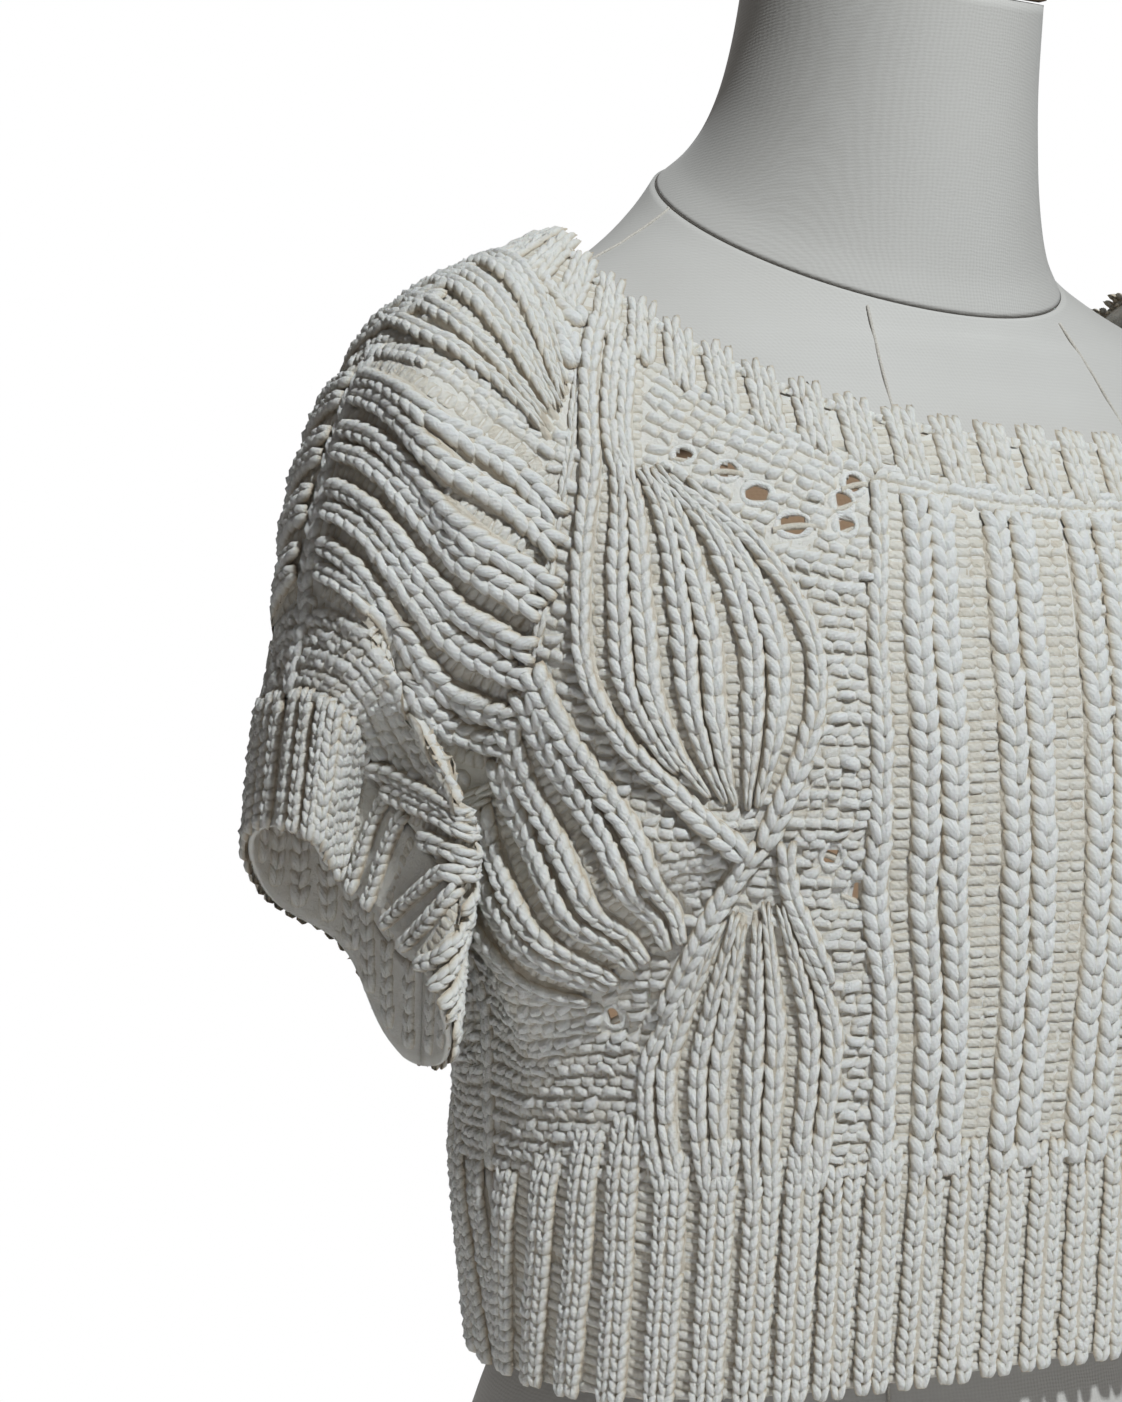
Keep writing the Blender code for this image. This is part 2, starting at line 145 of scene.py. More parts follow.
def arc(edge, lead, middle, reach, share):
    """Points from edge (share 0) to middle (share 1) on a cubic that leaves along lead."""
    share = share[..., None]
    rest = 1 - share
    near_edge, near_middle = edge + lead, middle + reach
    return (
        rest**3 * edge
        + 3 * rest**2 * share * near_edge
        + 3 * rest * share**2 * near_middle
        + share**3 * middle
    )


def stack(*columns):
    return np.stack(np.broadcast_arrays(*columns), axis=-1).astype(float)


def body_point(table, across, row):
    """A point of the front or back. across runs 0 to 1 from -X to +X."""
    side = np.where(across < 0.5, -1.0, 1.0)
    share = 1 - np.abs(2 * across - 1)

    def at(name):
        return smooth(table[name], row)

    edge = stack(side * at("edge_x"), at("edge_y"), at("edge_z"))
    lead = stack(side * at("lead_x"), at("lead_y"), at("lead_z"))
    middle = stack(0 * row, at("mid_y"), at("mid_z"))
    reach = stack(side * MIDDLE_REACH, 0 * row, 0 * row)
    return arc(edge, lead, middle, reach, share)


def sleeve_lead(body, row):
    """The way a sleeve's arc leaves its edge: the body's lead turned about above the underarm."""
    raglan = slice(UNDERARM_ROW + 1, None)
    facing = np.sign(body["mid_y"][0])
    still = [0.0] * len(SLEEVE["lead_y"])
    tube = {"lead_x": still, "lead_y": [-facing * lead for lead in SLEEVE["lead_y"]], "lead_z": still}
    columns = []
    for name, start in tube.items():
        turned = -np.array(body[name][raglan]) * SLEEVE["lead_scale"]
        columns.append(smooth(np.append(start, turned), row))
    return stack(*columns)


def sleeve_edge(body, row):
    """A sleeve's edge: its own seam below the underarm, and the body's raglan edge above."""
    above = row > SLEEVE_UNDERARM
    beside = row + UNDERARM_ROW - SLEEVE_UNDERARM
    names = ("edge_x", "edge_y", "edge_z")
    columns = (np.where(above, smooth(body[n], beside), smooth(SLEEVE[n], row)) for n in names)
    clear = UNDERARM_GAP * np.clip(1 - 2 * (row - SLEEVE_UNDERARM), 0, 1)
    return stack(*columns) + stack(clear, 0 * clear, 0 * clear)


def sleeve_point(side, across, row):
    """A point of a sleeve: side is -1 or 1. across runs 0 to 1 from the front edge to the back."""
    share = 1 - np.abs(2 * across - 1)
    middle = stack(smooth(SLEEVE["mid_x"], row), 0 * row, smooth(SLEEVE["mid_z"], row))
    halves = []
    for body in (FRONT, BACK):
        facing = np.sign(body["mid_y"][0])
        reach = stack(0 * row, facing * smooth(SLEEVE["mid_reach"], row), 0 * row)
        halves.append(arc(sleeve_edge(body, row), sleeve_lead(body, row), middle, reach, share))
    point = np.where((across < 0.5)[..., None], halves[0], halves[1])
    return point * np.array([side, 1, 1])


def fold_push(across, row, folds, span, rise):
    """How far the folds push the cloth. span and rise turn across and row into metres."""
    push = np.zeros(across.shape + (3,))
    here = np.stack([across * span, row * rise], axis=-1)
    for from_across, from_row, to_across, to_row, half_width, *most in folds:
        start = np.array([from_across * span, from_row * rise])
        line = np.array([to_across * span, to_row * rise]) - start
        share = np.clip((here - start) @ line / (line @ line), 0, 1)
        away = np.linalg.norm(here - start - share[..., None] * line, axis=-1) / half_width
        push += (np.exp(-away**2) * np.sin(math.pi * share))[..., None] * np.array(most)
    return push


def frame_of(surface, across, row):
    """The unit normal (across x up) and the unit way up of a surface function."""
    step = 1e-4
    over = surface(across + step, row) - surface(across - step, row)
    up = surface(across, row + step) - surface(across, row - step)
    normal = np.cross(over, up)
    normal /= np.linalg.norm(normal, axis=-1, keepdims=True)
    return normal, up / np.linalg.norm(up, axis=-1, keepdims=True)


def sleeve_surface(side):
    """The outer face of a sleeve as a function. across x up points out of the sleeve."""
    def surface(across, row):
        across = across if side > 0 else 1 - across
        fade = np.clip(np.minimum(across, 1 - across) / FOLD_EDGE, 0, 1) ** 2
        push = fold_push(across, row, SLEEVE_FOLDS, 0.28, 0.026) * fade[..., None]
        return sleeve_point(side, across, row) + push * np.array([side, 1, 1])

    return surface


def body_surface(table, folds):
    """The outer face of the front or back as a function. across x up points out of it."""
    def surface(across, row):
        across = across if table is FRONT else 1 - across
        half = np.minimum(across, 1 - across)
        side = np.where(across < 0.5, 1.0, -1.0)[..., None]
        fade = np.clip(half / FOLD_EDGE, 0, 1) ** 2
        push = fold_push(half, row, folds, 0.42, 0.036) * fade[..., None]
        return body_point(table, across, row) + push * np.concatenate([side, side**2, side**2], -1)

    return surface


PANELS = {
    "front": body_surface(FRONT, FRONT_FOLDS),
    "back": body_surface(BACK, BACK_FOLDS),
    "sleeve_right": sleeve_surface(-1),
    "sleeve_left": sleeve_surface(1),
}


def eased(directions):
    """A closed loop of directions, each turned towards its neighbours and made unit again."""
    mean = directions / 2 + (np.roll(directions, 1, axis=0) + np.roll(directions, -1, axis=0)) / 4
    return mean / np.linalg.norm(mean, axis=1, keepdims=True)


def band_surface():
    """The neckband as a function: across 0 to 1 round the loop, row 0 to 1 to its free edge."""
    seam, normal, up = [], [], []
    runs = (("front", NECK_ROW, 22), ("sleeve_left", SLEEVE_TOP, 11))
    runs += (("back", NECK_ROW, 22), ("sleeve_right", SLEEVE_TOP, 11))
    for name, top, steps in runs:
        across = np.linspace(0, 1, steps + 1)[:-1]
        row = np.full(steps, float(top))
        outward, along = frame_of(PANELS[name], across, row)
        seam.append(PANELS[name](across, row))
        normal.append(outward)
        up.append(along)
    seam, normal, up = (np.concatenate(part) for part in (seam, normal, up))
    for _ in range(3):
        normal, up = (eased(part) for part in (normal, up))
    step = np.linalg.norm(np.roll(seam, -1, axis=0) - seam, axis=1)
    place = np.concatenate([[0], np.cumsum(step)])
    place /= place[-1]

    def looped(values, at):
        values = np.concatenate([values, values[:1]])
        return np.stack([np.interp(at, place, values[:, i]) for i in range(3)], axis=-1)

    def surface(across, row):
        at = np.mod(across, 1.0)
        reach = SEAM_GAP * 1.6 + row * (BAND_WIDTH - SEAM_GAP * 0.6)
        return looped(seam, at) + looped(up, at) * np.asarray(reach)[..., None]

    return surface


PANELS["neckband"] = band_surface()


def place_mesh(name, data, material):
    """A mesh as an object in the scene, smooth and with its one material."""
    data.shade_smooth()
    data.materials.append(material)
    made = bpy.data.objects.new(name, data)
    bpy.context.scene.collection.objects.link(made)
    return made


# Paths on a panel -------------------------------------------------------------------------


def curve(points, count=60):
    """A Catmull-Rom curve through (across, row) points, with count samples."""
    points = np.array(points, float)
    ends = [2 * points[0] - points[1], 2 * points[-1] - points[-2]]
    line = np.vstack([ends[0], points, ends[1]])
    at = np.linspace(0, len(points) - 1.000001, count)
    i = at.astype(int)
    t = (at - i)[:, None]
    a, b, c, d = (line[i + k] for k in range(4))
    return 0.5 * (2 * b + (c - a) * t + (2 * a - 5 * b + 4 * c - d) * t**2
                  + (3 * b - a - 3 * c + d) * t**3)


class Strip:
    """One stitch column's path: points, normals and sideways directions by arc length."""

    def __init__(self, panel, path, half, inside=False):
        surface = PANELS[panel]
        across, row = path[:, 0], path[:, 1]
        self.points = surface(across, row)
        self.normal, _ = frame_of(surface, across, row)
        if inside:
            self.points = self.points - self.normal * CLOTH
            self.normal = -self.normal
        steps = np.linalg.norm(np.diff(self.points, axis=0), axis=1)
        self.place = np.concatenate([[0], np.cumsum(steps)])
        self.length = self.place[-1]
        along = np.gradient(self.points, axis=0)
        along /= np.linalg.norm(along, axis=1, keepdims=True) + 1e-12
        self.side = np.cross(along, self.normal)
        self.side /= np.linalg.norm(self.side, axis=1, keepdims=True) + 1e-12
        self.half = np.broadcast_to(half, self.place.shape)

    def width(self, at):
        return np.interp(at, self.place, self.half)

    def at(self, along, sideways, height):
        """World points for path lengths, sideways offsets and heights of the same shape."""
        def read(values):
            return np.stack([np.interp(along, self.place, values[:, i]) for i in range(3)], -1)

        overrun = along - np.clip(along, 0, self.length)
        start = self.points[1] - self.points[0]
        end = self.points[-1] - self.points[-2]
        start = start / (np.linalg.norm(start) + 1e-12)
        end = end / (np.linalg.norm(end) + 1e-12)
        beyond = np.where((overrun < 0)[..., None], start, end) * overrun[..., None]
        return (read(self.points) + beyond + read(self.side) * sideways[..., None]
                + read(self.normal) * height[..., None])


# Stitches ---------------------------------------------------------------------------------


class Relief:
    """Gathers many small patches, each a grid of points, into one mesh."""

    def __init__(self):
        self.points, self.faces, self.yarn, self.rise = [], [], [], []
        self.count = 0

    def add(self, points, yarn, rise):
        """points: (patches, n along, n across, 3), facing out where along x across does."""
        patches, rows, columns = points.shape[:3]
        index = np.arange(patches * rows * columns).reshape(patches, rows, columns) + self.count
        a, b = index[:, :-1, :-1], index[:, :-1, 1:]
        c, d = index[:, 1:, 1:], index[:, 1:, :-1]
        self.faces.append(np.stack([a, b, c, d], -1).reshape(-1, 4))
        self.points.append(points.reshape(-1, 3))
        self.yarn.append(yarn.reshape(-1, 3))
        self.rise.append(rise.reshape(-1))
        self.count += patches * rows * columns

    def build(self, name, material):
        points, faces = np.concatenate(self.points), np.concatenate(self.faces)
        data = bpy.data.meshes.new(name)
        data.vertices.add(len(points))
        data.vertices.foreach_set("co", points.astype(np.float32).ravel())
        data.loops.add(faces.size)
        data.loops.foreach_set("vertex_index", faces.astype(np.int32).ravel())
        data.polygons.add(len(faces))
        data.polygons.foreach_set("loop_start", np.arange(0, faces.size, 4, dtype=np.int32))
        data.update(calc_edges=True)
        data.validate()
        yarn = data.attributes.new("yarn", "FLOAT_VECTOR", "POINT")
        yarn.data.foreach_set("vector", np.concatenate(self.yarn).astype(np.float32).ravel())
        # rise, each point's height over the cloth, is the mask for the material's painted shade in the
        # hollows.
        rise = data.attributes.new("rise", "FLOAT", "POINT")
        rise.data.foreach_set("value", np.concatenate(self.rise).astype(np.float32))
        return place_mesh(name, data, material)


CHANCE = np.random.default_rng(53)
# A rung or bump is a grid of four by four points: their spread, and its height over them
SPREAD = np.array([-1.0, -0.45, 0.45, 1.0])
HUMP = np.array([0.0, 0.95, 0.95, 0.0])


def dome(count, power=0.5):
    """Across samples from -1 to 1 and the height of a rounded section over them."""
    b = np.sin(np.linspace(-0.5, 0.5, count) * math.pi)
    return b, np.maximum(1 - b**2, 0) ** power


def yarn_of(n, along, across):
    """Where each point of n stitches lies on its yarn, with a chance number for each stitch."""
    columns = along + CHANCE.random(n)[:, None, None], across, CHANCE.random(n)[:, None, None]
    return np.stack(np.broadcast_arrays(*columns), -1)


def knit(relief, strip, raised=0.0, pitch=STITCH, crest=0.0017, start=0.0, outer=0, fade=None):
    """A knit column: two ropes of overlapping legs, each pair a V that opens along the path.

    raised lifts the ropes, crest is a leg's height, outer is the side (-1 or 1) whose foot drops
    more, and fade is the length over which the column sinks away at its far end.
    """
    places = np.arange(start, strip.length - pitch * 0.25, pitch)
    if not len(places):
        return
    places = places + CHANCE.normal(0, pitch * 0.05, len(places))
    half = strip.width(places + pitch / 2)
    keep = half > 0.0014
    places, half = places[keep], half[keep]
    n = len(places)
    if not n:
        return
    if fade:
        raised = raised * np.clip((strip.length - places) / fade, 0.05, 1)
    share = np.array([0.0, 0.14, 0.45, 0.78, 1.0])
    lift = np.array([0.0, 0.72, 1.0, 0.80, 0.0])
    thick = np.array([0.55, 0.92, 1.0, 0.95, 0.60])
    b, section = dome(5, 0.62)
    for side in (-1, 1):
        length = pitch * (1.62 + CHANCE.normal(0, 0.07, n))
        fat = half * (0.50 + CHANCE.normal(0, 0.035, n))
        turn = CHANCE.normal(0, 0.07, n)
        drop = 0.30 if side == outer else 0.10
        foot = np.broadcast_to(raised * (1 - drop) + SKIRT * 0.75, n)[:, None]
        tall = crest * (1 + CHANCE.normal(0, 0.10, n)) * np.clip(half / 0.0034, 0.6, 1.2)
        tall = tall + raised * (1 - drop)
        along = places[:, None] + length[:, None] * (share[None] - 0.15)
        centre = side * half[:, None] * (0.17 + 0.46 * share[None] + turn[:, None] * share[None])
        across = centre[:, :, None] + (fat[:, None] * thick[None])[:, :, None] * b
        top = (tall[:, None] - foot) * lift[None]
        height = foot[:, :, None] + top[:, :, None] * section
        height = height + CHANCE.normal(0, 0.00019, height.shape)
        along3 = np.broadcast_to(along[:, :, None], height.shape)
        across = across + np.where(np.abs(b) < 0.99, CHANCE.normal(0, 0.00006, height.shape), 0)
        points = strip.at(along3, across, height)
        yarn = yarn_of(n, along3, b * fat[:, None, None] * 1.4)
        rise = height - foot[:, :, None] + SKIRT
        relief.add(points[:, :, ::-1], yarn[:, :, ::-1], rise[:, :, ::-1])


def bolster(relief, strip, raised, fade=None):
    """The rounded body of a rib under its ropes."""
    count = max(4, int(strip.length / 0.004))
    along = np.linspace(0.0005, strip.length - 0.0005, count)
    half = strip.width(along)
    b = np.array([-1.0, -0.72, 0.0, 0.72, 1.0])
    rise = np.array([0.0, 0.62, 1.0, 0.62, 0.0])
    ends = np.clip(np.minimum(np.arange(count), np.arange(count)[::-1]) / 1.5, 0, 1)[:, None]
    if fade:
        ends = ends * np.clip((strip.length - along) / fade, 0.3, 1)[:, None]
    height = SKIRT + (raised + 0.0002 - SKIRT) * rise[None] * ends
    across = half[:, None] * b[None]
    along = np.broadcast_to(along[:, None], height.shape)
    points = strip.at(along, across, height)
    yarn = np.stack(np.broadcast_arrays(along, across, 0.5), -1)
    # The bolster's rise is held low, so the material paints it with the darker, warmer shade of the hollows.
    low = np.full(height.shape, SKIRT * 0.6)
    relief.add(points[None, :, ::-1], yarn[None, :, ::-1], low[None, :, ::-1])


def purl(relief, strip, crest=-0.0002):
    """A purl column: short rungs across the path, bowed one way and the other by turns."""
    places = np.arange(RUNG / 2, strip.length, RUNG)
    odd = np.arange(len(places)) % 2
    half = strip.width(places)
    keep = half > 0.0010
    places, half, odd = places[keep], half[keep], odd[keep]
    n = len(places)
    if not n:
        return
    reach = half * (1.12 + CHANCE.normal(0, 0.06, n))
    bow = RUNG * (0.38 + CHANCE.normal(0, 0.08, n)) * np.where(odd, 1, -1)
    fat = RUNG * (0.62 + CHANCE.normal(0, 0.05, n))
    tall = crest + CHANCE.normal(0, 0.00025, n)
    across = reach[:, None, None] * SPREAD
    along = (places[:, None, None] + fat[:, None, None] * SPREAD[:, None]
             + bow[:, None, None] * (SPREAD**2 - 0.4))
    ends = np.array([0.55, 1.0, 1.0, 0.55])
    height = SKIRT + (tall - SKIRT)[:, None, None] * HUMP[:, None] * ends
    height = height + CHANCE.normal(0, 0.00007, height.shape)
    across, along = (np.broadcast_to(x, height.shape) for x in (across, along))
    points = strip.at(along, across, height)
    yarn = yarn_of(n, across, along - places[:, None, None])
    relief.add(points[:, :, ::-1], yarn[:, :, ::-1], height[:, :, ::-1])


def ground(relief, panel, rows, taken, holes, crest=0.0006):
    """Plain purl ground: bumps in brick courses wherever no column or hole has the place."""
    surface = PANELS[panel]
    low, high = rows
    path = np.stack([np.full(80, 0.5), np.linspace(low, high, 80)], -1)
    rise = np.linalg.norm(np.diff(surface(path[:, 0], path[:, 1]), axis=0), axis=1)
    climb = np.concatenate([[0], np.cumsum(rise)])
    courses = np.interp(np.arange(0.0015, climb[-1], RUNG), climb, path[:, 1])
    tree = KDTree(len(taken))
    for i, (point, _) in enumerate(taken):
        tree.insert(point, i)
    tree.balance()
    for number, level in enumerate(courses):
        line = np.stack([np.linspace(0.004, 0.996, 240), np.full(240, level)], -1)
        strip = Strip(panel, line, 0.003)
        middle = np.arange(LOOP * (0.25 if number % 2 else 0.75), strip.length, LOOP)
        middle = middle + CHANCE.normal(0, LOOP * 0.04, len(middle))
        spots = strip.at(middle, np.zeros(len(middle)), np.zeros(len(middle)))
        keep = []
        for spot in spots:
            near = tree.find_range(spot, 0.0085)
            clear = all(gap > taken[i][1] + 0.0002 for _, i, gap in near)
            keep.append(clear and all(np.linalg.norm(spot - hole) > size for hole, size in holes))
        middle = middle[np.array(keep, bool)]
        n = len(middle)
        if not n:
            continue
        share = np.array([-1.0, -0.5, 0.5, 1.0])
        reach = LOOP * (0.64 + CHANCE.normal(0, 0.08, n))
        fat = RUNG * (0.68 + CHANCE.normal(0, 0.07, n))
        bow = RUNG * (0.50 + CHANCE.normal(0, 0.22, n)) * (-1 if number % 2 else 1)
        tilt = CHANCE.normal(0.16 if number % 2 else -0.16, 0.14, n)
        along = middle[:, None, None] + reach[:, None, None] * share[None, :, None]
        across = (fat[:, None, None] * SPREAD
                  + bow[:, None, None] * (0.5 - share[None, :, None] ** 2)
                  + (tilt * reach)[:, None, None] * share[None, :, None])
        ends = np.array([0.25, 1.0, 1.0, 0.25])
        tall = crest + CHANCE.normal(0, 0.00035, n)
        height = SKIRT + (tall - SKIRT)[:, None, None] * ends[None, :, None] * HUMP
        height = height + CHANCE.normal(0, 0.00007, height.shape)
        along, across = (np.broadcast_to(x, height.shape) for x in (along, across))
        points = strip.at(along, across, height)
        yarn = yarn_of(n, along, across)
        relief.add(points[:, :, ::-1], yarn[:, :, ::-1], height[:, :, ::-1])


def ring_of_yarn(relief, panel, across, row, wide, tall):
    """An eyelet's low rim, a tube round an ellipse, and one strand that sags across behind it."""
    surface = PANELS[panel]
    centre = surface(np.array([across]), np.array([row]))[0]
    normal, up = (v[0] for v in frame_of(surface, np.array([across]), np.array([row])))
    side = np.cross(up, normal)
    turn = np.linspace(0, 2 * math.pi, 17)
    tube = np.linspace(0, 2 * math.pi, 7)
    thick = 0.0010 * (1 + 0.3 * np.sin(turn * 3 + across * 40))
    out = np.cos(turn)[:, None] * side + np.sin(turn)[:, None] * up
    line = centre + np.cos(turn)[:, None] * side * wide / 2 + np.sin(turn)[:, None] * up * tall / 2
    points = (line[:, None] + thick[:, None, None] * (np.cos(tube)[None, :, None] * out[:, None]
              + np.sin(tube)[None, :, None] * normal * 0.8) - normal * 0.0011)
    height = np.broadcast_to(0.0002 + 0.0006 * np.sin(tube)[None], (17, 7))
    yarn = np.stack(np.broadcast_arrays(turn[:, None] * wide, tube[None] * 0.001, across), -1)
    relief.add(points[None], yarn[None], height[None])
    span = np.linspace(-0.62, 0.62, 7)
    sway = -0.22 + 0.16 * np.sin(across * 90 + span * 2)
    line = (centre + span[:, None] * side * wide + sway[:, None] * up * tall
            - normal * (0.0017 + 0.0006 * np.sin(row * 9)))
    strand = line[:, None] + 0.0011 * (np.cos(tube)[None, :, None] * up
                                       + np.sin(tube)[None, :, None] * normal)
    # The strand's rise is set low, so the material paints it with the dark, warm shade of the hollows.
    depth = np.broadcast_to(-0.0012 + 0.0006 * np.sin(tube)[None], (7, 7))
    yarn = np.stack(np.broadcast_arrays(span[:, None] * wide, tube[None] * 0.001, row), -1)
    relief.add(strand[None, ::-1], yarn[None, ::-1], depth[None, ::-1])


# The sheet under the stitches -------------------------------------------------------------


def shell(name, panel, rows, material, columns, holes=(), pitch=0.0035):
    """A thin closed cloth sheet on a panel between two rows, with eyelets cut through."""
    surface = PANELS[panel]
    low, high = rows
    edge = 0.0 if panel == "neckband" else 0.0022
    across = np.linspace(edge, 1 - edge, columns)
    middle = surface(np.full(40, 0.5 if panel != "neckband" else 0.2), np.linspace(low, high, 40))
    climb = np.linalg.norm(np.diff(middle, axis=0), axis=1).sum()
    steps = max(4, int(climb / pitch))
    grid_across, grid_row = np.meshgrid(across, np.linspace(low, high, steps + 1))
    normal, _ = frame_of(surface, grid_across, grid_row)
    points = surface(grid_across, grid_row) - normal * SHELL_SINK
    rows_count, columns_count = grid_across.shape
    mesh = bmesh.new()
    verts = [[mesh.verts.new(p) for p in line] for line in points]
    if panel == "neckband":
        for line in verts:
            mesh.verts.remove(line[-1])
            line[-1] = line[0]
    for j in range(rows_count - 1):
        for i in range(columns_count - 1):
            middle = (points[j, i] + points[j + 1, i + 1]) / 2
            if any(np.linalg.norm(middle - hole) < size for hole, size in holes):
                continue
            mesh.faces.new((verts[j][i], verts[j][i + 1], verts[j + 1][i + 1], verts[j + 1][i]))
    for vert in [v for v in mesh.verts if not v.link_faces]:
        mesh.verts.remove(vert)
    data = bpy.data.meshes.new(name)
    mesh.to_mesh(data)
    mesh.free()
    made = place_mesh(name, data, material)
    thick = made.modifiers.new("thickness", "SOLIDIFY")
    thick.thickness = SHELL_THICK
    thick.offset = -1
    return made


# Bands of columns -------------------------------------------------------------------------

WIDTHS = {"K": 1.0, "P": 0.55}


def band(reliefs, taken, panel, left, right, pattern, raised=0.0, thin=0.0015, taper=None):
    """Columns laid evenly from one guide curve to the other, in the pattern's order.

    K is a knit column and P a purl one. Where the guides draw together a column narrower than
    thin stops. taper gives for each column the share of the length at which it starts and ends.
    """
    a, b = curve(left, 90), curve(right, 90)
    surface = PANELS[panel]
    gap = np.linalg.norm(surface(a[:, 0], a[:, 1]) - surface(b[:, 0], b[:, 1]), axis=1)
    weights = np.array([WIDTHS[kind] for kind in pattern])
    total = weights.sum()
    edges = np.concatenate([[0], np.cumsum(weights)]) / total
    for number, kind in enumerate(pattern):
        share = (edges[number] + edges[number + 1]) / 2
        path = a + (b - a) * share
        half = gap * weights[number] / total / 2
        if kind == "K":
            half = np.clip(half, 0, 0.0046)
        keep = half > thin * (1.0 if kind == "K" else 0.72)
        if taper is not None:
            first, last = taper[number]
            at = np.linspace(0, 1, len(path))
            keep &= (at >= first) & (at <= last)
        run = np.flatnonzero(keep)
        if len(run) < 4:
            continue
        run = slice(run[0], run[-1] + 1)
        strip = Strip(panel, path[run], half[run])
        if kind == "K":
            before = pattern[number - 1] if number else "P"
            after = pattern[number + 1] if number + 1 < len(pattern) else "P"
            outer = {"PK": -1, "KP": 1}.get(before + after, 0)
            knit(reliefs[0], strip, raised=raised, outer=outer)
            if raised > 0:
                wide = Strip(panel, path[run], half[run] * 1.12)
                bolster(reliefs[1], wide, raised * (0.85 if outer else 1.0))
        else:
            purl(reliefs[1], strip)
        for point, reach in list(zip(strip.points, strip.half))[::2]:
            taken.append((point, reach * (1.0 if kind == "K" else 1.5)))


def mirrored(points):
    return [(1 - across, row) for across, row in points]


def beside(points, share):
    """The two guides that run beside a guide, that share of the panel's width either side."""
    return [(a - share, r) for a, r in points], [(a + share, r) for a, r in points]


# The charts -------------------------------------------------------------------------------
# Guide curves in (across, row), bottom to top. Many of these numbers, some of them unchanged,
# were printed by a helper script that projected points read off the photo on to the panels.
# That breaks the rule against tables made by another program; report.md gives the counts.

LEAF_LEFT = [(0.238, 3.66), (0.215, 3.90), (0.163, 4.36), (0.113, 4.72), (0.072, 5.12),
             (0.046, 5.50), (0.033, 5.95), (0.027, 6.5), (0.023, 7.0), (0.019, 7.5),
             (0.013, 8.2), (0.011, 9.0), (0.013, 9.95)]
LEAF_INNER = LEAF_LEFT[1:-3]
LEAF_RIGHT = [(0.250, 3.75), (0.252, 4.24), (0.255, 4.80), (0.256, 5.34), (0.245, 6.02),
              (0.220, 6.55), (0.180, 7.02), (0.128, 7.42)]
STEM_LEFT = [(0.174, 0.98), (0.164, 1.24), (0.158, 1.52), (0.160, 1.88), (0.182, 2.24),
             (0.216, 2.70), (0.238, 3.14), (0.247, 3.75)]
STEM_RIGHT = [(0.305, 0.98), (0.307, 1.36), (0.310, 1.76), (0.310, 2.14), (0.302, 2.50),
              (0.290, 2.90), (0.278, 3.30), (0.266, 3.75)]
POUCH_HIGH = [(0.214, 2.80), (0.208, 3.20), (0.160, 3.95), (0.098, 4.50), (0.040, 5.00), (0.004, 5.40)]
POUCH_LOW = [(0.118, 2.35), (0.095, 2.45), (0.070, 2.58), (0.042, 2.80), (0.022, 3.02), (0.004, 3.20)]
RAGLAN_LEFT = [(0.038, 7.3), (0.028, 8.0), (0.026, 9.0), (0.028, 9.97)]
RAGLAN_RIGHT = [(0.076, 7.2), (0.070, 8.0), (0.070, 9.0), (0.070, 9.97)]
FRONT_STEM = [(0.342, 1.02), (0.340, 1.9), (0.338, 2.7), (0.330, 3.6), (0.314, 4.9), (0.303, 6.1),
              (0.306, 7.6), (0.312, 8.7)]
HEM_FOOT = [0.000, 0.040, 0.083, 0.128, 0.172, 0.212, 0.247, 0.279, 0.309, 0.340, 0.372, 0.404, 0.436,
            0.468, 0.500]
HEM_HEAD = [0.018, 0.064, 0.105, 0.143, 0.184, 0.222, 0.255, 0.285, 0.314, 0.344, 0.375, 0.406, 0.437,
            0.4685, 0.500]
HEM_TIPS = [1.02, 1.15, 1.30, 1.42, 1.20, 1.27, 1.12, 1.22, 1.08, 1.17, 1.10, 1.16, 1.09, 1.15, 1.10]
EYELETS = [
    # across, row, width, height in metres
    (0.115, 8.10, 0.0060, 0.0050), (0.160, 8.16, 0.0070, 0.0058), (0.190, 7.92, 0.0084, 0.0064),
    (0.224, 7.50, 0.0096, 0.0070), (0.290, 8.90, 0.0060, 0.0066), (0.276, 8.34, 0.0062, 0.0068),
    (0.276, 7.80, 0.0060, 0.0062), (0.150, 2.62, 0.0056, 0.0068), (0.140, 2.20, 0.0056, 0.0068),
    (0.300, 3.62, 0.0060, 0.0070), (0.322, 3.22, 0.0060, 0.0070),
]
SLEEVE_EYELETS = [(0.972, 5.05, 0.0056, 0.0080), (0.972, 4.6, 0.0058, 0.0086),
                  (0.972, 4.2, 0.0054, 0.0078)]

# A sleeve, from the front edge (0) to the top line (0.5)
RIBS_LOW = [(0.478, 2.35), (0.40, 2.30), (0.30, 2.45), (0.18, 2.85), (0.08, 3.20), (0.006, 3.35)]
RIBS_HIGH = [(0.490, 6.00), (0.40, 6.00), (0.30, 5.98), (0.18, 6.00), (0.08, 5.98), (0.006, 5.80)]
CAP_LOW = [(0.600, 6.9), (0.52, 6.45), (0.40, 6.22), (0.28, 6.26), (0.16, 6.34), (0.08, 6.30), (0.010, 6.10)]
CAP_HIGH = [(0.520, 8.96), (0.44, 8.90), (0.30, 8.74), (0.18, 8.44), (0.10, 8.0), (0.035, 7.40),
            (0.006, 6.95)]
COLLAR_LOW = [(0.008, 7.25), (0.045, 7.72), (0.110, 8.2)]
COLLAR_HIGH = [(0.006, 8.95), (0.035, 8.95), (0.110, 8.95)]
POUCH_S_LOW = [(0.050, 1.05), (0.034, 1.60), (0.020, 2.0), (0.004, 2.3)]
POUCH_S_HIGH = [(0.330, 1.05), (0.240, 1.70), (0.130, 2.55), (0.060, 3.0), (0.004, 3.20)]


def spots(panel, eyelets):
    """Eyelets as (centre, radius) pairs to keep cloth and bumps out of."""
    found = []
    for across, row, wide, tall in eyelets:
        centre = PANELS[panel](np.array([across]), np.array([row]))[0]
        found.append((centre, (wide + tall) / 4))
    return found


